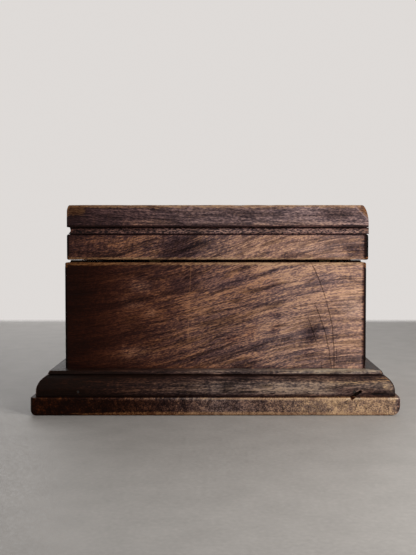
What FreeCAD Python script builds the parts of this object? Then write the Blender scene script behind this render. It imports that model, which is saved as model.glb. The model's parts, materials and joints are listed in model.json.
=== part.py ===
import FreeCAD, Part
import math
import os

# A wooden box with a hinged lid on a moulded plinth. Its two secrets are a sliding strip in the lid,
# which works a pair of hooks, and a shallow drawer whose front is the front moulding of the plinth.
# Frame: X to the right, the front faces -Y, Z up, origin under the middle of the base board.
# All sizes are in millimetres.

Vector = FreeCAD.Vector

# Outside of the body
BODY_WIDTH = 168.0
BODY_DEPTH = 118.0
WALL = 6.0
CORNER_LAP = 2.0          # thickness of the front and back boards left in front of a side board's end
ARRIS = 1.0               # rounding of the outer edges of walls and rails

# Heights, from the table upwards
BOARD_THICKNESS = 9.8
MOULDING_HEIGHT = 13.2
RIM_ABOVE_LEDGE = 59.3
LID_GAP = 1.4
RAIL_HEIGHT = 14.2
STRIP_LAYER = 3.9
SLAB_THICKNESS = 12.4

# Base board
BOARD_OVERHANG = 16.2
BOARD_CORNER = 3.0        # in plan
BOARD_LEFT_ROUND = 4.0    # of the lower corner at the board's left end
BOARD_RIGHT_ROUND = 6.0
BOARD_TOP_EDGE = 0.7      # all round
BOARD_FOOT_EDGE = 1.4     # along the front and the back

# Moulding profile, measured outwards from the wall and upwards from the base board
MOULDING_WIDTH = 13.4
LEDGE_WIDTH = 7.3
FILLET_FOOT = (8.1, 11.5)
QUIRK = (7.5, 11.2)
OVOLO_MIDDLE = (10.85, 9.15)
OVOLO_FOOT_HEIGHT = 3.0
MITRE_REACH = 20.0        # how far the cutting wedges reach past the wall

# Lid
LID_SHIFT = 1.1           # the lid sits a little to the right of the body
SLAB_OVERHANG = 0.3       # at the front and the back
SLAB_LEFT_INSET = 0.15
SLAB_LEFT_ROUND = (1.6, 4.0)    # reach of the worn top corner along the slab and down its end
SLAB_RIGHT_ROUND = (3.6, 10.0)
SLAB_FOOT_ROUND = 0.5     # of the lower corner at its left end
SLAB_FACE_EDGE = 0.4
STRIP_SET_BACK = 0.4      # of the sliding strip behind the rail's face
STRIP_HOLLOW = 0.5        # depth of the cove in the strips
SIDE_STRIP_GAP = 0.3
LEFT_STRIP_INSET = 0.8    # of the fixed strip on the left behind the rail's face

# Lock slide
SLIDE_TRAVEL = 4.0
SLIDE_CLEAR = 0.2
STRIP_DEPTH = 4.1
STRIP_LEFT_TOP_INSET = 3.3
STRIP_LEFT_FOOT_INSET = 1.0
STRIP_RIGHT_PROUD = 0.2   # of the rail's end
BAR_BACK = -44.0
BAR_LEFT_INSET = 5.8
BAR_RIGHT_INSET = 0.8
TONGUE_HALF_LENGTH = 60.0
TONGUE_MIDDLE = -49.2
TONGUE_WIDTH = 3.6
TONGUE_HEIGHT = 1.6
HOOK_THICKNESS = 1.2
HOOK_FRONT = -51.4
HOOK_SHANK_WIDTH = 6.0
HOOK_FOOT_HEIGHT = 2.5
HOOK_FOOT_CLEAR = 0.6
HOOK_FLANGE_LENGTH = 12.0
HOOK_BEND = 0.5

# Keepers on the inside of the front wall
KEEPER_X = 48.0
KEEPER_HALF_WIDTH = 6.0
KEEPER_THICKNESS = 0.8
KEEPER_TOP_DROP = 5.8     # top of the keeper below the rim
KEEPER_HEIGHT = 8.0
KEEPER_REACH = 4.5
KEEPER_SCREW_X = 3.5
KEEPER_SCREW_DROP = 5.0

# Hinges
HINGE_X = 48.0
HINGE_LENGTH = 22.0
LEAF_THICKNESS = 0.6
LEAF_FRONT = 53.6
KNUCKLE_RADIUS = 1.5
KNUCKLE_GAP = 0.2
MIDDLE_KNUCKLE = 8.0
HINGE_BACK_GAP = 0.25
HINGE_PIN_RADIUS = 0.75
HINGE_PIN_FIT = 0.05
STOP_TAB_ANGLE = 22.0     # below level when the lid is shut
STOP_TAB_REACH = 3.2
STOP_TAB_HALF_WIDTH = 3.5
STOP_FLANGE_HEIGHT = 3.2
HINGE_SCREW_X = 7.0
HINGE_SCREW_Y = 56.2

# False bottom and drawer
FLOOR_THICKNESS = 3.5
FLOOR_LIFT = 0.2          # underside of the floor above the ledge
FLOOR_GROOVE = 2.5
FLOOR_EDGE_CLEAR = 0.2
FRONT_WALL_DROP = 2.0     # how far the front wall reaches down behind the drawer front
RUN_CLEAR = 0.3
FOOT_CLEAR = 0.2
DRAWER_SIDE = 4.5
DRAWER_TOP_CLEAR = 0.4
DRAWER_BOTTOM = 1.6
DRAWER_END = 36.0
PEG_RADIUS = 2.2
PEG_Y = -46.0
PEG_TIP = 15.0
PEG_CHAMFER = 0.5

# Nails, screws and small hardware
BRAD_RADIUS = 0.5
BRAD_HEAD_RADIUS = 0.85
BRAD_HEAD_FOOT = 1.1      # underside of the head below the moulding face
BRAD_SUNK = 0.4           # top of the head below the moulding face
BRAD_DOME = 0.2           # rounding of the head's rim
BRAD_Z = 12.4
BRAD_SPREAD = 0.7         # share of the half length at which the fixed mouldings are nailed
BRAD_INTO_WALL = 5.0
BRAD_INTO_DRAWER = 10.0
DRAWER_BRAD_X = (-74.6, 75.4)
SCREW_RADIUS = 0.6
SCREW_HEAD_RADIUS = 1.2
SCREW_LENGTH = 5.0
HOOK_SCREW_LENGTH = 2.4
HOOK_SCREW_SPREAD = 4.0
ROUND_HEAD_HEIGHT = 0.8
SLOT_WIDTH = 0.3
SLOT_DEPTH = 0.3
BUMPER_X = 77.6
BUMPER_LENGTH = 7.0
BUMPER_WIDTH = 3.0
BUMPER_THICKNESS = 1.2
BUMPER_EDGE = 0.4

# Pry nick across the foot of the drawer front
NICK_START = (73.6, 9.4)
NICK_END = (79.0, 12.9)
NICK_WIDTH = 1.4
NICK_DEPTH = 1.4

# Derived places
HALF_WIDTH = BODY_WIDTH / 2
HALF_DEPTH = BODY_DEPTH / 2
INNER_X = HALF_WIDTH - WALL
INNER_Y = HALF_DEPTH - WALL
Z_BOARD = BOARD_THICKNESS
Z_LEDGE = Z_BOARD + MOULDING_HEIGHT
Z_RIM = Z_LEDGE + RIM_ABOVE_LEDGE
Z_LID = Z_RIM + LID_GAP
Z_RAIL = Z_LID + RAIL_HEIGHT
Z_SLAB = Z_RAIL + STRIP_LAYER
Z_TOP = Z_SLAB + SLAB_THICKNESS
Z_FRONT_WALL = Z_LEDGE - FRONT_WALL_DROP
Z_FLOOR = Z_LEDGE + FLOOR_LIFT
Z_FLOOR_TOP = Z_FLOOR + FLOOR_THICKNESS
Z_SLIDE = Z_RAIL + SLIDE_CLEAR
Z_SLIDE_TOP = Z_SLAB - SLIDE_CLEAR
HINGE_AXIS_Y = HALF_DEPTH + HINGE_BACK_GAP + KNUCKLE_RADIUS
HINGE_AXIS_Z = Z_RIM + LID_GAP / 2
DRAWER_FOOT = Z_BOARD + FOOT_CLEAR
DRAWER_TOP = Z_FRONT_WALL - DRAWER_TOP_CLEAR
DRAWER_HALF = INNER_X - RUN_CLEAR
DRAWER_FRONT_Y = -HALF_DEPTH - RUN_CLEAR
STRIP_FRONT = -HALF_DEPTH + STRIP_SET_BACK
STRIP_BACK = STRIP_FRONT + STRIP_DEPTH
FACE_TOLERANCE = 1e-6


def box(x0, x1, y0, y1, z0, z1):
    """A block between two corners."""
    return Part.makeBox(x1 - x0, y1 - y0, z1 - z0, Vector(x0, y0, z0))


def rod(start, direction, radius, length):
    """A round rod from a point along a direction."""
    return Part.makeCylinder(radius, length, start, direction)


def outline_face(points):
    """A flat face inside a closed run of straight edges."""
    return Part.Face(Part.makePolygon(points + points[:1]))


def rounded(shape, radius, chosen):
    """The shape with the edges rounded for which chosen(bounding box) holds."""
    edges = [edge for edge in shape.Edges if chosen(edge.BoundBox)]
    return shape.makeFillet(radius, edges)


def at(value, place):
    """Whether two coordinates are the same."""
    return abs(value - place) < FACE_TOLERANCE


def base_board():
    """The broad board that everything stands on, the common part of its plan, its length and its width."""
    half_x = HALF_WIDTH + BOARD_OVERHANG
    half_y = HALF_DEPTH + BOARD_OVERHANG
    blank = box(-half_x, half_x, -half_y, half_y, 0, Z_BOARD)
    plan = rounded(blank, BOARD_CORNER, lambda b: b.XLength + b.YLength < FACE_TOLERANCE)
    plan = rounded(plan, BOARD_TOP_EDGE, lambda b: at(b.ZMin, Z_BOARD))
    length = rounded(blank, BOARD_LEFT_ROUND, lambda b: at(b.XMax, -half_x) and at(b.ZMax, 0))
    length = rounded(length, BOARD_RIGHT_ROUND, lambda b: at(b.XMin, half_x) and at(b.ZMax, 0))
    width = rounded(blank, BOARD_FOOT_EDGE, lambda b: at(b.YLength, 0) and at(b.ZMax, 0))
    return plan.common(length).common(width).cut(pry_nick(-half_y))


def pry_nick(face_y):
    """The slanting nick left by prying, cut from a front face at face_y."""
    run = NICK_END[0] - NICK_START[0]
    rise = NICK_END[1] - NICK_START[1]
    length = math.hypot(run, rise)
    nick = box(0, length, face_y - NICK_DEPTH, face_y + NICK_DEPTH, -NICK_WIDTH / 2, NICK_WIDTH / 2)
    nick.rotate(Vector(0, 0, 0), Vector(0, -1, 0), math.degrees(math.atan2(rise, run)))
    nick.translate(Vector(NICK_START[0], 0, NICK_START[1]))
    return nick


def moulding_profile(wall_distance, back_gap, foot_gap):
    """The moulding's section at the front, as a face in the YZ plane."""
    def point(out, up):
        return Vector(0, -wall_distance - out, Z_BOARD + up)

    start = point(*QUIRK)
    ovolo_foot = point(MOULDING_WIDTH, OVOLO_FOOT_HEIGHT)
    ovolo = Part.Arc(start, point(*OVOLO_MIDDLE), ovolo_foot).toShape()
    corners = [
        ovolo_foot,
        point(MOULDING_WIDTH, foot_gap),
        point(back_gap, foot_gap),
        point(back_gap, MOULDING_HEIGHT),
        point(LEDGE_WIDTH, MOULDING_HEIGHT),
        point(*FILLET_FOOT),
        start,
    ]
    edges = [Part.makeLine(a, b) for a, b in zip(corners, corners[1:])]
    return Part.Face(Part.Wire([ovolo] + edges))


def moulding(half_length, wall_distance, turn, mitre_gap=0.0, back_gap=0.0, foot_gap=0.0):
    """One mitred run of moulding, made at the front and turned about Z to its side."""
    reach = half_length + MITRE_REACH
    run = moulding_profile(wall_distance, back_gap, foot_gap).extrude(Vector(2 * reach, 0, 0))
    run.translate(Vector(-reach, 0, 0))
    near = half_length - mitre_gap
    far = reach - mitre_gap
    wedge = outline_face([
        Vector(-near, -wall_distance, 0),
        Vector(near, -wall_distance, 0),
        Vector(far, -wall_distance - MITRE_REACH, 0),
        Vector(-far, -wall_distance - MITRE_REACH, 0),
    ])
    run = run.common(wedge.extrude(Vector(0, 0, Z_TOP)))
    run.rotate(Vector(0, 0, 0), Vector(0, 0, 1), turn)
    return run


def brad_blank(place, direction, depth, top):
    """A nail driven in at a moulding face, with the top of its head at a depth below that face."""
    start = place + direction * top
    head = rod(start, direction, BRAD_HEAD_RADIUS, BRAD_HEAD_FOOT - top)
    return head.fuse(rod(start, direction, BRAD_RADIUS, depth - top)).removeSplitter()


def brad(place, direction, depth):
    """A nail punched below the face, with the rim of its head rounded."""
    head_middle = place + direction * BRAD_SUNK
    nail = brad_blank(place, direction, depth, BRAD_SUNK)
    return rounded(nail, BRAD_DOME, lambda b: at((b.Center - head_middle).Length, 0))


def brad_holes(places, depth):
    """The holes of nails at several (place, direction), opened right through the face."""
    return [brad_blank(place, direction, depth, -BRAD_HEAD_RADIUS) for place, direction in places]


def drawer_brad_places():
    """Where the two nails go in, through the drawer front into the ends of the drawer sides."""
    face_y = -HALF_DEPTH - MOULDING_WIDTH
    return [(Vector(x, face_y, BRAD_Z), Vector(0, 1, 0)) for x in DRAWER_BRAD_X]


def fixed_brad_places():
    """Where the nails of the left, right and back mouldings go in, two in each."""
    face_y = HALF_DEPTH + MOULDING_WIDTH
    places = []
    for spread in (-BRAD_SPREAD, BRAD_SPREAD):
        for sign in (-1, 1):
            face_x = sign * (HALF_WIDTH + MOULDING_WIDTH)
            places.append((Vector(face_x, spread * HALF_DEPTH, BRAD_Z), Vector(-sign, 0, 0)))
        places.append((Vector(spread * HALF_WIDTH, face_y, BRAD_Z), Vector(0, -1, 0)))
    return places


def end_board(side, z0, z1, shift=0.0):
    """A front (side -1) or back (side 1) board, lapped at its ends over the side boards."""
    faces = sorted((side * HALF_DEPTH, side * INNER_Y))
    board = box(shift - HALF_WIDTH, shift + HALF_WIDTH, faces[0], faces[1], z0, z1)
    outer = side * HALF_DEPTH
    board = rounded(
        board, ARRIS, lambda b: at(b.YMin, outer) and at(b.YMax, outer) or at(b.XLength + b.ZLength, 0)
    )
    lap_faces = sorted((side * (HALF_DEPTH - CORNER_LAP), side * INNER_Y))
    for end in (-1, 1):
        ends = sorted((shift + end * INNER_X, shift + end * HALF_WIDTH))
        board = board.cut(box(ends[0], ends[1], lap_faces[0], lap_faces[1], z0, z1))
    return board


def side_board(side, z0, z1, shift=0.0):
    """A left (side -1) or right (side 1) board between the laps of the front and back boards."""
    outer = shift + side * HALF_WIDTH
    faces = sorted((outer, shift + side * INNER_X))
    end = HALF_DEPTH - CORNER_LAP
    board = box(faces[0], faces[1], -end, end, z0, z1)
    return rounded(
        board, ARRIS, lambda b: at(b.XMin, outer) and at(b.XMax, outer) and b.ZLength < FACE_TOLERANCE
    )


def floor_groove():
    """The space of the groove that runs round the walls for the false bottom."""
    x = INNER_X + FLOOR_GROOVE
    y = INNER_Y + FLOOR_GROOVE
    return box(-x, x, -y, y, Z_FLOOR, Z_FLOOR_TOP)


def stop_peg():
    """The dowel that hangs from the false bottom into the drawer."""
    peg = rod(Vector(0, PEG_Y, PEG_TIP), Vector(0, 0, 1), PEG_RADIUS, Z_FLOOR_TOP - PEG_TIP)
    edges = [edge for edge in peg.Edges if at(edge.BoundBox.ZMax, PEG_TIP)]
    return peg.makeChamfer(PEG_CHAMFER, edges)


def false_bottom(peg):
    """The floor of the main compartment, with the hole for the stop peg."""
    x = INNER_X + FLOOR_GROOVE - FLOOR_EDGE_CLEAR
    y = INNER_Y + FLOOR_GROOVE - FLOOR_EDGE_CLEAR
    return box(-x, x, -y, y, Z_FLOOR, Z_FLOOR_TOP).cut(peg)


def slotted(head, start, across, direction):
    """A screw head at start with a straight slot along the axis across."""
    side = direction.cross(across)
    half = SLOT_WIDTH / 2
    slot = box(-SCREW_HEAD_RADIUS, SCREW_HEAD_RADIUS, -half, half, -SLOT_DEPTH, SLOT_DEPTH)
    turn = FreeCAD.Rotation(across, side, direction, "ZXY")
    slot.Placement = FreeCAD.Placement(start, turn)
    return head.cut(slot)


def flat_screw(start, direction, across):
    """A countersunk screw as thick in the head as a hinge leaf."""
    head = Part.makeCone(SCREW_HEAD_RADIUS, SCREW_RADIUS, LEAF_THICKNESS, start, direction)
    head = slotted(head, start, across, direction)
    shank_start = start + direction * LEAF_THICKNESS
    return head.fuse(rod(shank_start, direction, SCREW_RADIUS, SCREW_LENGTH)).removeSplitter()


def flat_screw_hole(start, direction):
    """The countersink and pilot hole of a flat screw."""
    cone = Part.makeCone(SCREW_HEAD_RADIUS, SCREW_RADIUS, LEAF_THICKNESS, start, direction)
    pilot = rod(start + direction * LEAF_THICKNESS, direction, SCREW_RADIUS, SCREW_LENGTH)
    return cone.fuse(pilot)


def round_screw(seat, direction, across, length):
    """A round-headed screw whose head sits on a seat."""
    head_start = seat - direction * ROUND_HEAD_HEIGHT
    head = rod(head_start, direction, SCREW_HEAD_RADIUS, ROUND_HEAD_HEIGHT)
    rim = SCREW_HEAD_RADIUS / 2
    head = rounded(head, rim, lambda b: at((b.Center - head_start).Length, 0))
    head = slotted(head, head_start, across, direction)
    return head.fuse(rod(seat, direction, SCREW_RADIUS, length)).removeSplitter()


def hinge_screw_places(z):
    """Where the screws of one hinge row sit."""
    offsets = [
        hinge + screw
        for hinge in (-HINGE_X, HINGE_X)
        for screw in (-HINGE_SCREW_X, HINGE_SCREW_X)
    ]
    return [Vector(x, HINGE_SCREW_Y, z) for x in offsets]


def knuckle(x0, x1, radius):
    """A length of round stock on the hinge axis."""
    return rod(Vector(x0, HINGE_AXIS_Y, HINGE_AXIS_Z), Vector(1, 0, 0), radius, x1 - x0)


def hinge_spans(x):
    """The middle knuckle's span and the two outer ones, for a hinge centred at x."""
    half = HINGE_LENGTH / 2
    middle = MIDDLE_KNUCKLE / 2
    outer = [(x - half, x - middle - KNUCKLE_GAP), (x + middle + KNUCKLE_GAP, x + half)]
    return (x - middle, x + middle), outer


def knuckle_room(span):
    """The space that one leaf leaves free round the other leaf's knuckle."""
    x0 = span[0] - KNUCKLE_GAP
    x1 = span[1] + KNUCKLE_GAP
    behind = box(x0, x1, HALF_DEPTH, HINGE_AXIS_Y, Z_RIM, Z_LID)
    return behind.fuse(knuckle(x0, x1, KNUCKLE_RADIUS + KNUCKLE_GAP))


def body_leaf(x):
    """The fixed leaf: plate on the rim, outer knuckles and the flange that stops the lid."""
    half = HINGE_LENGTH / 2
    middle, outer = hinge_spans(x)
    plate = box(x - half, x + half, LEAF_FRONT, HINGE_AXIS_Y, Z_RIM, Z_RIM + LEAF_THICKNESS)
    leaf = plate.cut(knuckle_room(middle)).fuse(stop_flange(x))
    for span in outer:
        leaf = leaf.fuse(knuckle(span[0], span[1], KNUCKLE_RADIUS))
    leaf = leaf.removeSplitter()
    return leaf.cut(knuckle(x - half, x + half, HINGE_PIN_RADIUS))


def stop_flange(x):
    """The part of the fixed leaf that is let into the back of the wall."""
    return box(
        x - STOP_TAB_HALF_WIDTH,
        x + STOP_TAB_HALF_WIDTH,
        HALF_DEPTH - LEAF_THICKNESS,
        HALF_DEPTH,
        Z_RIM - STOP_FLANGE_HEIGHT,
        Z_RIM + LEAF_THICKNESS,
    )


def lid_leaf(x):
    """The moving leaf: plate under the lid, middle knuckle and stop tab."""
    half = HINGE_LENGTH / 2
    middle, outer = hinge_spans(x)
    plate = box(x - half, x + half, LEAF_FRONT, HINGE_AXIS_Y, Z_LID - LEAF_THICKNESS, Z_LID)
    for span in outer:
        plate = plate.cut(knuckle_room(span))
    tab = box(
        x - STOP_TAB_HALF_WIDTH,
        x + STOP_TAB_HALF_WIDTH,
        HINGE_AXIS_Y,
        HINGE_AXIS_Y + STOP_TAB_REACH,
        HINGE_AXIS_Z - LEAF_THICKNESS / 2,
        HINGE_AXIS_Z + LEAF_THICKNESS / 2,
    )
    tab.rotate(Vector(x, HINGE_AXIS_Y, HINGE_AXIS_Z), Vector(1, 0, 0), -STOP_TAB_ANGLE)
    leaf = plate.fuse([tab, knuckle(middle[0], middle[1], KNUCKLE_RADIUS)]).removeSplitter()
    return leaf.cut(knuckle(x - half, x + half, HINGE_PIN_RADIUS + HINGE_PIN_FIT))


def bumper(x):
    """A small leather pad on the front rim."""
    middle_y = -HALF_DEPTH + WALL / 2
    pad = box(
        x - BUMPER_LENGTH / 2,
        x + BUMPER_LENGTH / 2,
        middle_y - BUMPER_WIDTH / 2,
        middle_y + BUMPER_WIDTH / 2,
        Z_RIM,
        Z_RIM + BUMPER_THICKNESS,
    )
    return rounded(pad, BUMPER_EDGE, lambda b: at(b.ZMin, Z_RIM + BUMPER_THICKNESS))


def keeper(x):
    """A brass angle on the inside of the front wall."""
    top = Z_RIM - KEEPER_TOP_DROP
    left, right = x - KEEPER_HALF_WIDTH, x + KEEPER_HALF_WIDTH
    plate = box(left, right, -INNER_Y, -INNER_Y + KEEPER_THICKNESS, top - KEEPER_HEIGHT, top)
    shelf = box(left, right, -INNER_Y, -INNER_Y + KEEPER_REACH, top - KEEPER_THICKNESS, top)
    return plate.fuse(shelf).removeSplitter()


def keeper_screws(x):
    """The two screws of a keeper."""
    seat_y = -INNER_Y + KEEPER_THICKNESS
    seat_z = Z_RIM - KEEPER_TOP_DROP - KEEPER_SCREW_DROP
    seats = [Vector(x + side * KEEPER_SCREW_X, seat_y, seat_z) for side in (-1, 1)]
    return [round_screw(seat, Vector(0, -1, 0), Vector(1, 0, 0), SCREW_LENGTH) for seat in seats]


def slab_corner(end, inwards, drop):
    """A worn top corner of the slab, a quarter ellipse from the top down to the end."""
    middle = Vector(end + inwards, 0, Z_TOP - drop)
    ellipse = Part.Ellipse(Vector(middle.x, 0, Z_TOP), Vector(end, 0, middle.z), middle)
    return Part.ArcOfEllipse(ellipse, 0, math.pi / 2).toShape()


def slab_profile(left, right):
    """The slab's section along its length, as a face in the XZ plane."""
    left_in, left_drop = SLAB_LEFT_ROUND
    right_in, right_drop = SLAB_RIGHT_ROUND
    foot_left = Vector(left, 0, Z_SLAB)
    foot_right = Vector(right, 0, Z_SLAB)
    edges = [
        Part.makeLine(foot_left, foot_right),
        Part.makeLine(foot_right, Vector(right, 0, Z_TOP - right_drop)),
        slab_corner(right, -right_in, right_drop),
        Part.makeLine(Vector(right - right_in, 0, Z_TOP), Vector(left + left_in, 0, Z_TOP)),
        slab_corner(left, left_in, left_drop),
        Part.makeLine(Vector(left, 0, Z_TOP - left_drop), foot_left),
    ]
    return Part.Face(Part.Wire(edges))


def slab():
    """The lid's thick top, with the groove that guides the lock bar."""
    left = LID_SHIFT - HALF_WIDTH + SLAB_LEFT_INSET
    right = LID_SHIFT + HALF_WIDTH
    front = -HALF_DEPTH - SLAB_OVERHANG
    back = HALF_DEPTH + SLAB_OVERHANG
    block = slab_profile(left, right).extrude(Vector(0, back - front, 0))
    block.translate(Vector(0, front, 0))
    block = rounded(block, SLAB_FOOT_ROUND, lambda b: at(b.XMax, left) and at(b.ZMax, Z_SLAB))
    for face in (front, back):
        block = rounded(block, SLAB_FACE_EDGE, lambda b: at(b.YMin, face) and at(b.YMax, face))
    return block.cut(tongue_groove())


def tongue_groove():
    """The groove in the slab, longer than the tongue by the slide's travel."""
    half_width = TONGUE_WIDTH / 2 + SLIDE_CLEAR
    return box(
        LID_SHIFT - TONGUE_HALF_LENGTH - SLIDE_TRAVEL - SLIDE_CLEAR,
        LID_SHIFT + TONGUE_HALF_LENGTH + SLIDE_CLEAR,
        TONGUE_MIDDLE - half_width,
        TONGUE_MIDDLE + half_width,
        Z_SLAB,
        Z_SLIDE_TOP + TONGUE_HEIGHT + SLIDE_CLEAR,
    )


def strip_profile(front, back, z0, z1):
    """A strip's section with its hollow front, as a face in the YZ plane."""
    top = Vector(0, front, z1)
    foot = Vector(0, front, z0)
    hollow = Part.Arc(top, Vector(0, front + STRIP_HOLLOW, (z0 + z1) / 2), foot).toShape()
    corners = [foot, Vector(0, back, z0), Vector(0, back, z1), top]
    edges = [Part.makeLine(a, b) for a, b in zip(corners, corners[1:])]
    return Part.Face(Part.Wire([hollow] + edges))


def front_strip():
    """The sliding strip, with its slanting left end."""
    left = LID_SHIFT - HALF_WIDTH
    right = LID_SHIFT + HALF_WIDTH + STRIP_RIGHT_PROUD
    strip = strip_profile(STRIP_FRONT, STRIP_BACK, Z_SLIDE, Z_SLIDE_TOP).extrude(Vector(right - left, 0, 0))
    strip.translate(Vector(left, 0, 0))
    outline = outline_face([
        Vector(left + STRIP_LEFT_FOOT_INSET, STRIP_FRONT, Z_SLIDE),
        Vector(right, STRIP_FRONT, Z_SLIDE),
        Vector(right, STRIP_FRONT, Z_SLIDE_TOP),
        Vector(left + STRIP_LEFT_TOP_INSET, STRIP_FRONT, Z_SLIDE_TOP),
    ])
    return strip.common(outline.extrude(Vector(0, STRIP_DEPTH, 0)))


def fixed_strip(half_length, face_distance, turn):
    """One fixed strip of the lid, made at the front and turned about Z to its side."""
    face = strip_profile(-face_distance, -face_distance + WALL, Z_RAIL, Z_SLAB)
    strip = face.extrude(Vector(2 * half_length, 0, 0))
    strip.translate(Vector(-half_length, 0, 0))
    strip.rotate(Vector(0, 0, 0), Vector(0, 0, 1), turn)
    strip.translate(Vector(LID_SHIFT, 0, 0))
    return strip


def side_strip(turn, inset):
    """A left or right fixed strip, cut off behind the sliding strip and before the back one."""
    strip = fixed_strip(HALF_DEPTH, HALF_WIDTH - inset, turn)
    reach = HALF_WIDTH + MITRE_REACH
    return strip.common(box(-reach, reach, STRIP_BACK + SIDE_STRIP_GAP, INNER_Y, 0, Z_TOP))


def lock_bar():
    """The batten behind the sliding strip, with the tongue that runs in the slab."""
    bar = box(
        LID_SHIFT - INNER_X + BAR_LEFT_INSET,
        LID_SHIFT + INNER_X - BAR_RIGHT_INSET,
        STRIP_BACK,
        BAR_BACK,
        Z_SLIDE,
        Z_SLIDE_TOP,
    )
    tongue = box(
        LID_SHIFT - TONGUE_HALF_LENGTH,
        LID_SHIFT + TONGUE_HALF_LENGTH,
        TONGUE_MIDDLE - TONGUE_WIDTH / 2,
        TONGUE_MIDDLE + TONGUE_WIDTH / 2,
        Z_SLIDE_TOP,
        Z_SLIDE_TOP + TONGUE_HEIGHT,
    )
    return bar.fuse(tongue).removeSplitter()


def hook_shank_x(keeper_x):
    """Left edge of the shank: past the keeper by the foot's clearance and the slide's travel."""
    return keeper_x + KEEPER_HALF_WIDTH + HOOK_FOOT_CLEAR + SLIDE_TRAVEL


def hook(keeper_x):
    """A brass hook: flange under the lock bar, shank down behind the wall, foot to the left."""
    shank_x = hook_shank_x(keeper_x)
    back = HOOK_FRONT + HOOK_THICKNESS
    foot_top = Z_RIM - KEEPER_TOP_DROP - KEEPER_THICKNESS - SLIDE_CLEAR
    foot_z = foot_top - HOOK_FOOT_HEIGHT
    shank = box(shank_x, shank_x + HOOK_SHANK_WIDTH, HOOK_FRONT, back, foot_z, Z_SLIDE)
    foot = box(shank_x - SLIDE_TRAVEL, shank_x, HOOK_FRONT, back, foot_z, foot_top)
    flange_x = hook_flange_middle(keeper_x) - HOOK_FLANGE_LENGTH / 2
    flange = box(
        flange_x, flange_x + HOOK_FLANGE_LENGTH, HOOK_FRONT, BAR_BACK, Z_SLIDE - HOOK_THICKNESS, Z_SLIDE
    )
    bent = shank.fuse([foot, flange]).removeSplitter()
    under = Z_SLIDE - HOOK_THICKNESS
    return rounded(bent, HOOK_BEND, lambda b: at(b.YMin, back) and at(b.YMax, back) and at(b.ZMin, under))


def hook_flange_middle(keeper_x):
    """Middle of the flange along X, above the shank."""
    return hook_shank_x(keeper_x) + HOOK_SHANK_WIDTH / 2


def hook_screws(keeper_x):
    """The two screws that hold a hook under the lock bar."""
    seat_y = (HOOK_FRONT + HOOK_THICKNESS + BAR_BACK) / 2
    seat_z = Z_SLIDE - HOOK_THICKNESS
    middle_x = hook_flange_middle(keeper_x)
    seats = [Vector(middle_x + side * HOOK_SCREW_SPREAD, seat_y, seat_z) for side in (-1, 1)]
    length = HOOK_THICKNESS + HOOK_SCREW_LENGTH
    return [round_screw(seat, Vector(0, 0, 1), Vector(1, 0, 0), length) for seat in seats]


def drawer_side(side):
    """A side of the drawer tray, standing on the tray's bottom."""
    faces = sorted((side * DRAWER_HALF, side * (DRAWER_HALF - DRAWER_SIDE)))
    return box(faces[0], faces[1], DRAWER_FRONT_Y, DRAWER_END, DRAWER_FOOT + DRAWER_BOTTOM, DRAWER_TOP)


def drawer_back():
    """The back of the tray, between its sides."""
    inner = DRAWER_HALF - DRAWER_SIDE
    return box(-inner, inner, DRAWER_END - DRAWER_SIDE, DRAWER_END, DRAWER_FOOT + DRAWER_BOTTOM, DRAWER_TOP)


def drawer_bottom():
    """The thin board that the tray's sides and back stand on."""
    top = DRAWER_FOOT + DRAWER_BOTTOM
    return box(-DRAWER_HALF, DRAWER_HALF, DRAWER_FRONT_Y, DRAWER_END, DRAWER_FOOT, top)


def drawer_front():
    """The front moulding, kept just clear of its neighbours, with the pry nick."""
    mitre_gap = RUN_CLEAR * math.sqrt(2)
    front = moulding(HALF_WIDTH, HALF_DEPTH, 0, mitre_gap, RUN_CLEAR, FOOT_CLEAR)
    return front.cut(pry_nick(-HALF_DEPTH - MOULDING_WIDTH))


def without(shape, cutters):
    """The shape with each cutter taken out of it."""
    for cutter in cutters:
        shape = shape.cut(cutter)
    return shape


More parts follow.
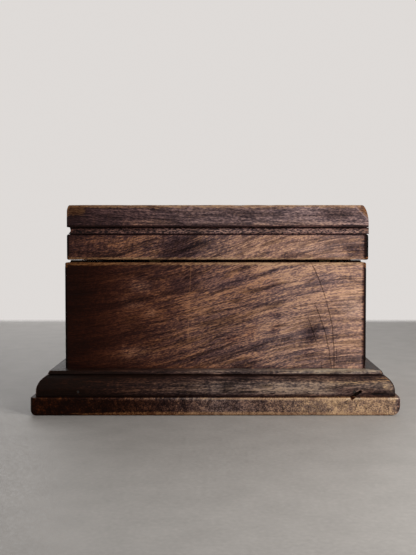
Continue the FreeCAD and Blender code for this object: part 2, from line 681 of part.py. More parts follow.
def case_pieces():
    """Everything that stands still: base, plinth, walls, floor, keepers and fixed hinge halves."""
    brad_places = fixed_brad_places()
    brad_depth = MOULDING_WIDTH + BRAD_INTO_WALL
    nail_holes = brad_holes(brad_places, brad_depth)
    screws = [flat_screw(place, Vector(0, 0, -1), Vector(1, 0, 0))
              for place in hinge_screw_places(Z_RIM + LEAF_THICKNESS)]
    screw_holes = [flat_screw_hole(place, Vector(0, 0, -1))
                   for place in hinge_screw_places(Z_RIM + LEAF_THICKNESS)]
    flanges = [stop_flange(x) for x in (-HINGE_X, HINGE_X)]
    keepers_screwed = keeper_screws(-KEEPER_X) + keeper_screws(KEEPER_X)
    groove = floor_groove()
    peg = stop_peg()
    pins = {
        side: knuckle(x - HINGE_LENGTH / 2, x + HINGE_LENGTH / 2, HINGE_PIN_RADIUS)
        for side, x in (("left", -HINGE_X), ("right", HINGE_X))
    }
    return {
        "base_board": base_board(),
        "plinth_moulding_right": without(moulding(HALF_DEPTH, HALF_WIDTH, 90), nail_holes),
        "plinth_moulding_back": without(moulding(HALF_WIDTH, HALF_DEPTH, 180), nail_holes),
        "plinth_moulding_left": without(moulding(HALF_DEPTH, HALF_WIDTH, 270), nail_holes),
        "moulding_brads": Part.makeCompound([brad(*place, brad_depth) for place in brad_places]),
        "front_wall": without(end_board(-1, Z_FRONT_WALL, Z_RIM), [groove] + keepers_screwed),
        "back_wall": without(end_board(1, Z_BOARD, Z_RIM), [groove] + nail_holes + screw_holes + flanges),
        "left_wall": without(side_board(-1, Z_BOARD, Z_RIM), [groove] + nail_holes),
        "right_wall": without(side_board(1, Z_BOARD, Z_RIM), [groove] + nail_holes),
        "false_bottom": false_bottom(peg),
        "drawer_stop_peg": peg,
        "keeper_left": without(keeper(-KEEPER_X), keepers_screwed),
        "keeper_right": without(keeper(KEEPER_X), keepers_screwed),
        "keeper_screws": Part.makeCompound(keepers_screwed),
        "hinge_body_leaf_left": without(body_leaf(-HINGE_X), screw_holes),
        "hinge_body_leaf_right": without(body_leaf(HINGE_X), screw_holes),
        "hinge_pin_left": pins["left"],
        "hinge_pin_right": pins["right"],
        "hinge_screws_body": Part.makeCompound(screws),
        "rim_bumpers": Part.makeCompound([bumper(-BUMPER_X), bumper(BUMPER_X)]),
    }


def lid_pieces():
    """The lid's slab, rails, fixed strips and moving hinge halves."""
    places = hinge_screw_places(Z_LID - LEAF_THICKNESS)
    screws = [flat_screw(place, Vector(0, 0, 1), Vector(1, 0, 0)) for place in places]
    holes = [flat_screw_hole(place, Vector(0, 0, 1)) for place in places]
    return {
        "lid_top": slab(),
        "lid_rail_front": end_board(-1, Z_LID, Z_RAIL, LID_SHIFT),
        "lid_rail_back": without(end_board(1, Z_LID, Z_RAIL, LID_SHIFT), holes),
        "lid_rail_left": side_board(-1, Z_LID, Z_RAIL, LID_SHIFT),
        "lid_rail_right": side_board(1, Z_LID, Z_RAIL, LID_SHIFT),
        "cove_strip_right": side_strip(90, 0.0),
        "cove_strip_back": fixed_strip(HALF_WIDTH, HALF_DEPTH, 180),
        "cove_strip_left": side_strip(270, LEFT_STRIP_INSET),
        "hinge_lid_leaf_left": without(lid_leaf(-HINGE_X), holes),
        "hinge_lid_leaf_right": without(lid_leaf(HINGE_X), holes),
        "hinge_screws_lid": Part.makeCompound(screws),
    }


def slide_pieces():
    """The sliding strip with its bar and hooks."""
    screws = hook_screws(-KEEPER_X) + hook_screws(KEEPER_X)
    return {
        "front_cove_strip": front_strip(),
        "lock_bar": without(lock_bar(), screws),
        "lock_hook_left": without(hook(-KEEPER_X), screws),
        "lock_hook_right": without(hook(KEEPER_X), screws),
        "hook_screws": Part.makeCompound(screws),
    }


def drawer_pieces():
    """The drawer in the plinth."""
    brad_places = drawer_brad_places()
    brad_depth = MOULDING_WIDTH + BRAD_INTO_DRAWER
    nail_holes = brad_holes(brad_places, brad_depth)
    return {
        "plinth_moulding_front": without(drawer_front(), nail_holes),
        "drawer_front_brads": Part.makeCompound([brad(*place, brad_depth) for place in brad_places]),
        "drawer_side_left": without(drawer_side(-1), nail_holes),
        "drawer_side_right": without(drawer_side(1), nail_holes),
        "drawer_back": drawer_back(),
        "drawer_bottom": drawer_bottom(),
    }


def main():
    os.makedirs("parts", exist_ok=True)
    for pieces in (case_pieces(), lid_pieces(), slide_pieces(), drawer_pieces()):
        for name, shape in pieces.items():
            print(name, len(shape.Solids), shape.isValid(), round(shape.Volume, 1))
            shape.exportStep(f"parts/{name}.step")


main()
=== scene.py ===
import json
import math
from collections import namedtuple

import bmesh
import bpy
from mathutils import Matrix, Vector, kdtree, noise


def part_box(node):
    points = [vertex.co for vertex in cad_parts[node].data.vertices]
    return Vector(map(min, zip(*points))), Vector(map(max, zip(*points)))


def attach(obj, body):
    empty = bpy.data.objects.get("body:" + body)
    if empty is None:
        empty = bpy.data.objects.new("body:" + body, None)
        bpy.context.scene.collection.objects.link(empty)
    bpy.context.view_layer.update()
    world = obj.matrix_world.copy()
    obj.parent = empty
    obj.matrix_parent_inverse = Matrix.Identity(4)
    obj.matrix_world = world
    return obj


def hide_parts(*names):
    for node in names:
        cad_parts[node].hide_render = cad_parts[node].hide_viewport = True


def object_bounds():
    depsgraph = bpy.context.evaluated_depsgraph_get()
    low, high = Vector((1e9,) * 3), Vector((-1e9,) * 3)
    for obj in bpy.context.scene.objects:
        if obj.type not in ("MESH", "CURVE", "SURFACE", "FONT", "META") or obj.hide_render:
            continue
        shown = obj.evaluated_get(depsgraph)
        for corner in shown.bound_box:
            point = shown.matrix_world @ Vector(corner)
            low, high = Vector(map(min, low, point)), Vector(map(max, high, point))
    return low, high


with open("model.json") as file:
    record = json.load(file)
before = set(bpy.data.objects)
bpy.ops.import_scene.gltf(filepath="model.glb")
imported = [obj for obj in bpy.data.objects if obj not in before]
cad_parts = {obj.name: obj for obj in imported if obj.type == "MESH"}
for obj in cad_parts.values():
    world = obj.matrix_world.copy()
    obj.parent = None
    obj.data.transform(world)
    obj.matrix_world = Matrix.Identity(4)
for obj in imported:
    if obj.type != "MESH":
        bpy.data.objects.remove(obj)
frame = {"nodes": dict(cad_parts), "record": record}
CAD_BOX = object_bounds()

bl_info = {
    "name": "Wooden puzzle box",
    "version": (1, 0, 0),
    "blender": (4, 5, 0),
    "location": "View3D > Sidebar > Puzzle Box",
    "description": "Dresses the solids of a wooden puzzle box in worn, stained walnut and aged fittings",
    "category": "Object",
}

MM = 1000.0
PICTURE_LONG_SIDE = 555.0
SENSOR_LONG_SIDE = 36.0
SIDES = ("front", "back", "left", "right")

BODY_OF_NODE = {
    node: body
    for body, nodes in frame["record"]["behaviour"]["bodies"].items()
    for node in nodes
}


def box_in_mm(node):
    """The lowest and the highest corner of a piece, in millimetres."""
    low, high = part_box(node)
    return low * MM, high * MM


# Corners of the pieces that wear and stain are placed by, in millimetres
FRONT_LOW, FRONT_HIGH = box_in_mm("front_wall")
RAIL_LOW, RAIL_HIGH = box_in_mm("lid_rail_front")
STRIP_LOW, STRIP_HIGH = box_in_mm("front_cove_strip")
SLAB_LOW, SLAB_HIGH = box_in_mm("lid_top")
BASE_LOW, BASE_HIGH = box_in_mm("base_board")
LEDGE = box_in_mm("plinth_moulding_front")[1].z

# The two ends of the pry nick, across and up
NICK_START = Vector((73.6, 9.4))
NICK_END = Vector((79.0, 12.9))


# Settings

def colour_property(name, description, default):
    return bpy.props.FloatVectorProperty(
        name=name, description=description, subtype="COLOR", size=4, min=0.0, max=1.0,
        default=(*default, 1.0),
    )


def length_property(name, description, default):
    return bpy.props.FloatProperty(
        name=name, description=description, subtype="DISTANCE", unit="LENGTH", min=0.0, precision=5,
        default=default,
    )


def share_property(name, description, default):
    return bpy.props.FloatProperty(
        name=name, description=description, subtype="FACTOR", min=0.0, max=1.0, default=default
    )


def power_property(name, description, default):
    return bpy.props.FloatProperty(name=name, description=description, unit="POWER", min=0.0, default=default)


def place_property(name, description, default):
    return bpy.props.FloatVectorProperty(
        name=name, description=description, subtype="TRANSLATION", unit="LENGTH", default=default
    )


class PuzzleBoxWood(bpy.types.PropertyGroup):
    """Colours and wear of the boards"""

    streak_dark: colour_property("Dark streak", "Darkest streaks of the brown boards", (0.066, 0.039, 0.037))
    streak_brown: colour_property("Brown wood", "Middle tone of the brown boards", (0.174, 0.095, 0.077))
    streak_light: colour_property(
        "Light streak", "Lightest streaks of the brown boards", (0.475, 0.277, 0.174)
    )
    cool_dark: colour_property(
        "Cool dark streak", "Darkest streaks of the purple-brown boards", (0.052, 0.036, 0.041)
    )
    cool_brown: colour_property("Cool wood", "Middle tone of the purple-brown boards", (0.135, 0.089, 0.093))
    cool_light: colour_property(
        "Cool light streak", "Lightest streaks of the purple-brown boards", (0.33, 0.225, 0.222)
    )
    bare_wood: colour_property("Bare wood", "Wood where the stain is rubbed off", (0.42, 0.25, 0.132))
    bare_dark: colour_property("Handled wood", "Rubbed wood that has taken up dirt", (0.17, 0.080, 0.044))
    film: colour_property("Stain film", "Stain that lies thick on the darkest wood", (0.012, 0.0042, 0.0026))
    honey: colour_property("Honey tint", "Tint of the wood where the stain is thin", (1.0, 0.88, 0.78))
    inner_light: colour_property(
        "Inner wood, light", "Light grain of the unstained inner boards", (0.40, 0.26, 0.155)
    )
    inner_dark: colour_property(
        "Inner wood, dark", "Dark grain of the unstained inner boards", (0.20, 0.115, 0.062)
    )
    wear_width: length_property("Wear width", "How far the rubbed band reaches from an edge", 0.0011)
    wear_depth: length_property("Wear depth", "Deepest dent in an outer edge", 0.00055)
    wear_reach: length_property("Dent reach", "How far a dent spreads from its edge", 0.0024)
    mesh_step: length_property("Mesh step", "Length of the faces between two edges", 0.0028)
    varnish: share_property("Varnish roughness", "Roughness of the thin old varnish", 0.46)


class PuzzleBoxFittings(bpy.types.PropertyGroup):
    """Colours of the metal and leather fittings"""

    brass: colour_property("Brass", "Clean brass of hinges, keepers and hooks", (0.60, 0.41, 0.16))
    tarnish: colour_property("Tarnish", "Brown film on old brass", (0.10, 0.060, 0.026))
    steel: colour_property("Steel", "Dull steel of screws and pins", (0.20, 0.19, 0.18))
    nail: colour_property("Nail", "Blackened steel of the nails", (0.050, 0.047, 0.045))
    rust: colour_property("Rust", "Dark rust on nails and screws", (0.030, 0.019, 0.014))
    leather: colour_property("Leather", "Leather of the rim pads", (0.014, 0.009, 0.007))


class PuzzleBoxStage(bpy.types.PropertyGroup):
    """Floor, light and camera"""

    floor: colour_property("Floor", "Plain pale grey floor", (0.40, 0.385, 0.37))
    floor_back: length_property("Floor behind", "Where the floor ends behind the box", 0.42)
    floor_fade: length_property("Floor fade", "Over how far the floor fades out at its far edge", 0.045)
    floor_reach: length_property("Floor reach", "How far the floor reaches to the other sides", 2.2)
    background: colour_property("Background", "Plain pale background", (0.735, 0.705, 0.685))
    fill: share_property("Fill light", "Level of the even light from all round", 0.24)
    key_colour: colour_property("Key lamp colour", "Colour of the large soft lamp", (1.0, 0.97, 0.93))
    key_power: power_property("Key lamp power", "Power of the large soft lamp at the right", 1.7)
    key_size: length_property("Key lamp size", "Side of the large soft lamp", 0.25)
    key_place: place_property("Key lamp place", "Where the large soft lamp stands", (0.30, -0.30, 0.19))
    back_colour: colour_property("Back lamp colour", "Colour of the broad soft lamp behind", (1.0, 1.0, 1.0))
    back_power: power_property("Back lamp power", "Power of the broad soft lamp behind", 2.0)
    back_size: length_property("Back lamp size", "Side of the broad soft lamp behind", 0.6)
    back_place: place_property("Back lamp place", "Where the broad soft lamp stands", (-0.15, 0.55, 0.45))
    eye: place_property("Eye", "Where the camera stands", (0.00505, -0.4916, 0.09675))
    eye_dip: bpy.props.FloatProperty(
        name="Eye dip", description="How far the camera looks down", subtype="ANGLE", unit="ROTATION",
        default=math.radians(1.863),
    )
    eye_lens: bpy.props.FloatProperty(
        name="Lens", description="Focal length on a 36 mm long side", unit="CAMERA", min=1.0, default=50.45
    )
    eye_shift: bpy.props.FloatVectorProperty(
        name="Lens shift", description="Shift of the picture, in pixels", size=2, default=(-16.7, -15.8)
    )


# Node trees

class Tree:
    """Adds nodes to a node tree and wires them as they are made."""

    def __init__(self, tree):
        self.tree = tree
        tree.nodes.clear()

    def node(self, kind, inputs=(), **settings):
        """A new node with its settings and its inputs."""
        prefix = "" if kind.startswith("NodeGroup") else "ShaderNode"
        made = self.tree.nodes.new(prefix + kind)
        for name, value in settings.items():
            setattr(made, name, value)
        self.feed(made, inputs)
        return made

    def feed(self, node, inputs):
        """Links inputs of a node to other nodes' outputs, or sets them to plain values."""
        for socket, value in dict(inputs).items():
            if isinstance(value, bpy.types.NodeSocket):
                self.tree.links.new(value, node.inputs[socket])
            else:
                node.inputs[socket].default_value = value

    def math(self, operation, *values):
        return self.node("Math", enumerate(values), operation=operation).outputs[0]

    def plus(self, first, second):
        return self.math("ADD", first, second)

    def minus(self, first, second):
        return self.math("SUBTRACT", first, second)

    def times(self, first, second):
        return self.math("MULTIPLY", first, second)

    def times_plus(self, value, factor, start):
        return self.math("MULTIPLY_ADD", value, factor, start)

    def larger(self, first, second):
        return self.math("MAXIMUM", first, second)

    def absolute(self, value):
        return self.math("ABSOLUTE", value)

    def vector_math(self, operation, first, second):
        return self.node("VectorMath", {0: first, 1: second}, operation=operation).outputs[0]

    def axes(self, vector):
        return self.node("SeparateXYZ", {0: vector}).outputs

    def noise(self, vector, detail=2.0, roughness=0.5):
        inputs = {"Vector": vector, "Scale": 1.0, "Detail": detail, "Roughness": roughness}
        return self.node("TexNoise", inputs).outputs["Fac"]

    def drawn_noise(self, vector, along, across, detail=2.0, roughness=0.5):
        """Noise that varies at one rate along the first axis and at another across it."""
        return self.noise(self.vector_math("MULTIPLY", vector, (along, across, across)), detail, roughness)

    def fit(self, value, low, high, to_low=0.0, to_high=1.0):
        """Takes a value smoothly from one range to another."""
        inputs = {"Value": value, "From Min": low, "From Max": high, "To Min": to_low, "To Max": to_high}
        return self.node("MapRange", inputs, interpolation_type="SMOOTHSTEP").outputs["Result"]

    def mix(self, factor, first, second, blend="MIX"):
        inputs = {0: factor, 6: first, 7: second}
        return self.node("Mix", inputs, data_type="RGBA", blend_type=blend).outputs[2]

    def gamma(self, colour, exponent):
        return self.node("Gamma", {"Color": colour, "Gamma": exponent}).outputs[0]

    def ramp(self, value, *stops):
        """Colours along a value, each given with its place."""
        made = self.node("ValToRGB", {"Fac": value})
        elements = made.color_ramp.elements
        while len(elements) < len(stops):
            elements.new(0.5)
        for element, (place, colour) in zip(elements, stops):
            element.position = place
            element.color = colour
        return made.outputs["Color"]

    def attribute(self, name, output="Fac"):
        return self.node("Attribute", attribute_name=name).outputs[output]

    def place(self):
        """The place on the object, in millimetres."""
        return self.vector_math("MULTIPLY", self.node("TexCoord").outputs["Object"], (MM, MM, MM))

    def bumped(self, height, distance):
        return self.node("Bump", {"Height": height, "Distance": distance, "Strength": 1.0}).outputs["Normal"]

    def group(self, name, **inputs):
        """The outputs of a shared node group, which is built when it is first asked for."""
        shared = bpy.data.node_groups.get(name) or GROUPS[name](name)
        values = {socket.replace("_", " ").capitalize(): value for socket, value in inputs.items()}
        return self.node("Group", values, node_tree=shared).outputs


def new_group(name, vector, numbers, outputs):
    """A node group that takes a vector and some numbers, with its tree and the outputs of its input node."""
    group = bpy.data.node_groups.new(name, "ShaderNodeTree")
    group.interface.new_socket(vector, in_out="INPUT", socket_type="NodeSocketVector")
    for socket, default in numbers.items():
        made = group.interface.new_socket(socket, in_out="INPUT", socket_type="NodeSocketFloat")
        made.default_value = default
    for socket in outputs:
        group.interface.new_socket(socket, in_out="OUTPUT", socket_type="NodeSocketFloat")
    tree = Tree(group)
    return group, tree, tree.node("NodeGroupInput").outputs


# Layers of the wood's figure: how often each varies along and across the grain, per mm, and its detail.
FIGURE_LAYERS = {
    "Bands": (0.0075, 0.105, 2.0),
    "Streaks": (0.014, 0.34, 2.0),
    "Fibres": (0.085, 1.35, 1.0),
    "Speckle": (0.60, 1.85, 1.0),
    "Blotches": (0.030, 0.055, 2.0),
    "Curl": (0.14, 0.035, 2.0),
}
# Dark veins: how often a vein and its breaks vary along and across the grain, per mm.
VEIN_RUNS = (
    (0.012, 0.16, 0.05, 0.12),
    (0.018, 0.30, 0.07, 0.21),
    (0.010, 0.23, 0.035, 0.17),
)


def bent_grain(tree, grain, bend):
    """Grain coordinates that wander off their straight run."""
    wander = tree.drawn_noise(grain, 0.021, 0.045)
    push = tree.times(tree.minus(wander, 0.5), bend)
    shift = tree.node("CombineXYZ", {"Y": push, "Z": push}).outputs[0]
    return tree.vector_math("ADD", grain, shift)


def dark_veins(tree, grain):
    """Mask of long dark lines that break off and start again."""
    veins = 0.0
    for line_along, line_across, break_along, break_across in VEIN_RUNS:
        height = tree.drawn_noise(grain, line_along, line_across, 1.0)
        line = tree.fit(tree.absolute(tree.minus(height, 0.5)), 0.058, 0.018)
        broken = tree.fit(tree.drawn_noise(grain, break_along, break_across, 1.0), 0.46, 0.60)
        veins = tree.larger(veins, tree.times(line, broken))
    return veins


def wood_figure(name):
    """Tone, pores and relief of a board, from its grain coordinates in millimetres."""
    numbers = {"Bend": 5.0, "Pore level": 0.64, "Veins": 0.5}
    numbers.update({strength: 0.5 for strength in FIGURE_LAYERS})
    group, tree, given = new_group(name, "Grain", numbers, ("Tone", "Pores", "Relief"))
    grain = bent_grain(tree, given["Grain"], given["Bend"])
    tone = 0.5
    for strength, (along, across, detail) in FIGURE_LAYERS.items():
        level = tree.minus(tree.drawn_noise(grain, along, across, detail, 0.6), 0.5)
        tone = tree.times_plus(level, given[strength], tone)
    vessels = tree.drawn_noise(grain, 0.24, 1.75, 1.0, 0.4)
    dashes = tree.fit(vessels, given["Pore level"], tree.plus(given["Pore level"], 0.06), 0.0, 0.6)
    pores = tree.larger(dashes, tree.times(dark_veins(tree, grain), given["Veins"]))
    fibre = tree.drawn_noise(grain, 0.10, 4.5, 1.0)
    relief = tree.minus(tree.times(fibre, 0.35), pores)
    tree.node("NodeGroupOutput", {"Tone": tone, "Pores": pores, "Relief": relief})
    return group


def edge_wear(name):
    """Mask of the rubbed band along the outer edges, ragged along the grain."""
    numbers = {"Edge distance": 10.0, "Width": 1.3, "Cover": 0.5}
    group, tree, given = new_group(name, "Grain", numbers, ("Wear",))
    grain = given["Grain"]
    slow = tree.drawn_noise(grain, 0.045, 0.09, 1.0)
    ragged = tree.drawn_noise(grain, 0.42, 1.0, 3.0, 0.6)
    share = tree.fit(slow, tree.minus(0.72, given["Cover"]), tree.minus(1.12, given["Cover"]))
    spread = tree.times(share, tree.plus(ragged, tree.times(ragged, ragged)))
    reach = tree.times_plus(spread, tree.times(given["Width"], 2.0), 0.05)
    wear = tree.fit(tree.math("DIVIDE", given["Edge distance"], reach), 1.0, 0.25)
    flecks = tree.fit(tree.drawn_noise(grain, 0.5, 2.2), 0.28, 0.55, 0.35, 1.0)
    tree.node("NodeGroupOutput", {"Wear": tree.times(wear, flecks)})
    return group


def handling_marks(name):
    """Mask of fine scratches in two directions across the surface."""
    group, tree, given = new_group(name, "Place", {"Level": 0.70}, ("Marks",))
    masks = []
    for turn, offset in ((0.5, 11.0), (2.1, 47.0)):
        inputs = {"Vector": given["Place"], "Location": (offset,) * 3, "Rotation": (turn,) * 3}
        turned = tree.node("Mapping", inputs).outputs[0]
        line = tree.drawn_noise(turned, 0.035, 1.9, 0.0)
        masks.append(tree.fit(line, given["Level"], tree.plus(given["Level"], 0.03)))
    tree.node("NodeGroupOutput", {"Marks": tree.larger(*masks)})
    return group


# A pass of the saw: how much lower its centre lies and how much wider its arc is than the first, half the
# width of its line, how easily the line breaks up, and how high it reaches, in mm.
SawPass = namedtuple("SawPass", "lower wider half_width breaks top")
SAW_PASSES = (
    SawPass(0.0, 0.0, 0.46, 0.24, 84.0),
    SawPass(15.5, -1.3, 0.40, 0.30, 61.0),
    SawPass(1.0, 1.5, 0.30, 0.46, 50.0),
    SawPass(20.0, -6.0, 0.30, 0.46, 54.0),
)
# Where the arcs begin, the heights of the scratch's foot and middle, its lean, and how softly both end, in mm
ARCS_START = 40.0
SCRATCH_FOOT = 36.0
SCRATCH_MIDDLE = 55.0
SCRATCH_LEAN = 0.04
MARK_FADE = 6.0


def saw_marks(name):
    """Dark arcs that a circular saw left across the front board, and one pale straight scratch."""
    numbers = {"Centre x": -46.2, "Centre z": 29.4, "Radius": 113.0, "Scratch x": -14.8}
    group, tree, given = new_group(name, "Place", numbers, ("Arcs", "Scratch"))
    place = tree.axes(given["Place"])
    sway = tree.times(tree.drawn_noise(given["Place"], 0.12, 0.12, 1.0), 1.2)
    broken = tree.noise(tree.vector_math("MULTIPLY", given["Place"], (0.2, 0.2, 0.16)))
    off_x = tree.minus(place["X"], given["Centre x"])
    arcs = 0.0
    for cut in SAW_PASSES:
        off_z = tree.plus(tree.minus(place["Z"], given["Centre z"]), cut.lower)
        squares = tree.times_plus(off_x, off_x, tree.times(off_z, off_z))
        radius = tree.plus(tree.math("SQRT", squares), sway)
        off = tree.minus(tree.minus(radius, given["Radius"]), cut.wider)
        line = tree.fit(tree.absolute(off), cut.half_width, 0.35 * cut.half_width)
        line = tree.times(line, tree.fit(place["Z"], cut.top, cut.top - 4.0))
        arcs = tree.larger(arcs, tree.times(line, tree.fit(broken, cut.breaks, cut.breaks + 0.12)))
    right_end = tree.fit(place["X"], ARCS_START, ARCS_START + MARK_FADE)
    lean = tree.times_plus(tree.minus(place["Z"], SCRATCH_MIDDLE), SCRATCH_LEAN, given["Scratch x"])
    scratch = tree.fit(tree.absolute(tree.minus(place["X"], lean)), 0.5, 0.15)
    scratch = tree.times(scratch, tree.fit(broken, 0.34, 0.54))
    scratch = tree.times(scratch, tree.fit(place["Z"], SCRATCH_FOOT, SCRATCH_FOOT + MARK_FADE))
    tree.node("NodeGroupOutput", {"Arcs": tree.times(arcs, right_end), "Scratch": scratch})
    return group


def patina(name):
    """Uneven film on metal or leather: broad patches with fine specks."""
    group, tree, given = new_group(name, "Place", {"Patch size": 6.0}, ("Film", "Specks"))
    broad = tree.vector_math("DIVIDE", given["Place"], given["Patch size"])
    film = tree.fit(tree.noise(broad, 3.0, 0.6), 0.35, 0.68)
    specks = tree.fit(tree.drawn_noise(given["Place"], 2.4, 2.4), 0.52, 0.70)
    tree.node("NodeGroupOutput", {"Film": film, "Specks": specks})
    return group


GROUPS = {
    "Wood figure": wood_figure,
    "Edge wear": edge_wear,
    "Handling marks": handling_marks,
    "Saw marks": saw_marks,
    "Patina": patina,
}


# Materials

# Strengths of the layers in a board's figure, how far its grain bends in mm, and how rare its pores are.
Figure = namedtuple("Figure", "bend bands streaks fibres speckle blotches curl veins pore_level")
PANEL_FIGURE = Figure(
    bend=5.0, bands=0.75, streaks=0.55, fibres=0.45, speckle=1.25, blotches=0.30, curl=0.10, veins=0.85,
    pore_level=0.63,
)
SLAB_FIGURE = Figure(
    bend=6.0, bands=0.35, streaks=0.40, fibres=0.85, speckle=1.10, blotches=0.20, curl=0.10, veins=0.70,
    pore_level=0.64,
)
MOULDING_FIGURE = Figure(
    bend=1.5, bands=0.40, streaks=0.40, fibres=0.90, speckle=1.10, blotches=0.45, curl=0.35, veins=0.85,
    pore_level=0.65,
)
STRIP_FIGURE = Figure(
    bend=2.0, bands=0.30, streaks=0.40, fibres=0.40, speckle=3.60, blotches=0.30, curl=0.30, veins=0.60,
    pore_level=0.61,
)
BASE_FIGURE = Figure(
    bend=3.0, bands=0.35, streaks=0.90, fibres=0.90, speckle=0.80, blotches=0.50, curl=0.30, veins=0.65,
    pore_level=0.64,
)
INNER_FIGURE = Figure(
    bend=5.0, bands=0.90, streaks=0.50, fibres=0.35, speckle=0.30, blotches=0.30, curl=0.10, veins=0.50,
    pore_level=0.66,
)

# A finish of stained walnut: its figure, how much of the edges is rubbed and how bare, how much of the figure
# is left under deep stain, how much cooler dark streaks are than light ones, special marks, gloss and a tint.
NO_TINT = (1.0, 1.0, 1.0, 1.0)
SATIN = 0.09
Finish = namedtuple(
    "Finish", "figure cover rub fade split special gloss tint", defaults=(None, SATIN, NO_TINT)
)
FINISHES = {
    "walnut_panel": Finish(PANEL_FIGURE, cover=0.54, rub=0.85, fade=0.30, split=2.2),
    "walnut_front": Finish(
        PANEL_FIGURE._replace(streaks=0.60, fibres=0.65, speckle=1.0),
        cover=0.56, rub=0.85, fade=0.22, split=2.2, special="sawn", gloss=0.05,
        tint=(1.03, 1.01, 1.02, 1.0),
    ),
    "walnut_rail": Finish(
        PANEL_FIGURE._replace(streaks=0.60, fibres=0.60, speckle=1.10),
        cover=0.54, rub=0.85, fade=0.14, split=2.2, special="scored", gloss=0.05,
        tint=(1.01, 0.97, 0.98, 1.0),
    ),
    "walnut_slab": Finish(SLAB_FIGURE, cover=0.62, rub=0.85, fade=0.34, split=0.7, special="rubbed corners"),
    "walnut_moulding": Finish(
        MOULDING_FIGURE, cover=0.45, rub=0.55, fade=0.45, split=0.8, special="nicked", gloss=0.06,
        tint=(0.97, 1.13, 1.0, 1.0),
    ),
    "walnut_lock_strip": Finish(STRIP_FIGURE, cover=0.30, rub=0.40, fade=0.40, split=0.4),
    "walnut_cove": Finish(
        STRIP_FIGURE._replace(speckle=1.20, pore_level=0.64), cover=0.30, rub=0.40, fade=0.40, split=0.4
    ),
    "walnut_base": Finish(
        BASE_FIGURE, cover=0.80, rub=0.80, fade=0.55, split=0.8, special="nicked", gloss=0.03,
        tint=(0.98, 1.06, 0.96, 1.0),
    ),
}
# Tones at which the dark, middle and light colour of the streaks stand
STREAK_TONES = (0.26, 0.48, 0.74)
# Heights of the fine relief of stained and bare wood, metal and leather, in metres
OUTER_RELIEF = 0.00009
INNER_RELIEF = 0.00007
SPECK_RELIEF = 0.00003
PEBBLE_RELIEF = 0.00008


def made_once(make):
    """Makes a material when it is first asked for, and finds it by its name after that."""
    def find_or_make(name, *settings, **named_settings):
        return bpy.data.materials.get(name) or make(name, *settings, **named_settings)
    return find_or_make


def new_material(name):
    """A material with a Principled shader, and the tree to wire it in."""
    material = bpy.data.materials.new(name)
    material.use_nodes = True
    tree = Tree(material.node_tree)
    shader = tree.node("BsdfPrincipled")
    tree.node("OutputMaterial", {"Surface": shader.outputs[0]})
    return material, tree, shader


def shaded(colour, factor):
    """A colour made darker or lighter by a factor."""
    return (*(channel * factor for channel in colour[:3]), 1.0)


def streaked_wood(tree, wood, finish, figure, depth):
    """Colour of the figure under thin stain: brown or purple-brown streaks, with dark pores."""
    contrast = tree.fit(depth, 0.85, 2.2, 1.0, finish.fade)
    tone = tree.times_plus(tree.minus(figure["Tone"], 0.5), contrast, 0.5)
    warm = tree.ramp(tone, *zip(STREAK_TONES, (wood.streak_dark, wood.streak_brown, wood.streak_light)))
    cool = tree.ramp(tone, *zip(STREAK_TONES, (wood.cool_dark, wood.cool_brown, wood.cool_light)))
    cool_share = tree.times_plus(tree.minus(0.5, tone), finish.split, tree.attribute("cool"))
    pores = tree.times(tree.times(figure["Pores"], contrast), 0.74)
    return tree.mix(pores, tree.mix(cool_share, warm, cool), wood.streak_dark, "MULTIPLY")


def marked_wood(tree, wood, finish, colour, place, marks):
    """Adds fine scratches to the wood, and a saw's arcs or dark scores where the finish has them."""
    colour = tree.mix(tree.times(marks, 0.10), colour, wood.streak_light)
    if finish.special == "sawn":
        saw = tree.group("Saw marks", place=place)
        colour = tree.mix(tree.times(saw["Arcs"], 0.75), colour, wood.streak_dark, "MULTIPLY")
        colour = tree.mix(tree.times(saw["Scratch"], 0.30), colour, wood.streak_light)
    if finish.special == "scored":
        scores = tree.group("Handling marks", place=place, level=0.60)["Marks"]
        colour = tree.mix(tree.times(scores, 0.30), colour, wood.streak_dark, "MULTIPLY")
    return colour


def stained_wood(tree, wood, finish, colour, depth):
    """Takes the wood to the depth of its stain: a dark film where it is thick, honey where it is thin."""
    thick = tree.fit(depth, 1.5, 2.8, 0.0, 0.5)
    # Where the painted shade runs deepest, the film gives way and the gamma alone takes the wood near black
    outside_deep_painted_shade = tree.fit(depth, 4.2, 3.2)
    thin = tree.fit(depth, 1.0, 0.6)
    colour = tree.mix(tree.times(thick, outside_deep_painted_shade), tree.gamma(colour, depth), wood.film)
    colour = tree.mix(thin, colour, wood.honey, "MULTIPLY")
    return tree.mix(1.0, colour, finish.tint, "MULTIPLY")


def rubbed_corners(tree, figure, place):
    """Masks of the lid's two bare corners, and of the pale line where the right one begins."""
    inside = tree.attribute("corner_mm")
    right = tree.fit(tree.axes(place)["X"], 0.0, 1.0)
    ragged = tree.times_plus(tree.minus(figure["Tone"], 0.5), 3.0, inside)
    strength = tree.times_plus(right, 0.2, 0.4)
    bare = tree.times(tree.fit(ragged, -0.4, 1.0), strength)
    line = tree.times(tree.fit(tree.absolute(inside), 0.7, 0.1, 0.0, 0.5), right)
    return bare, line


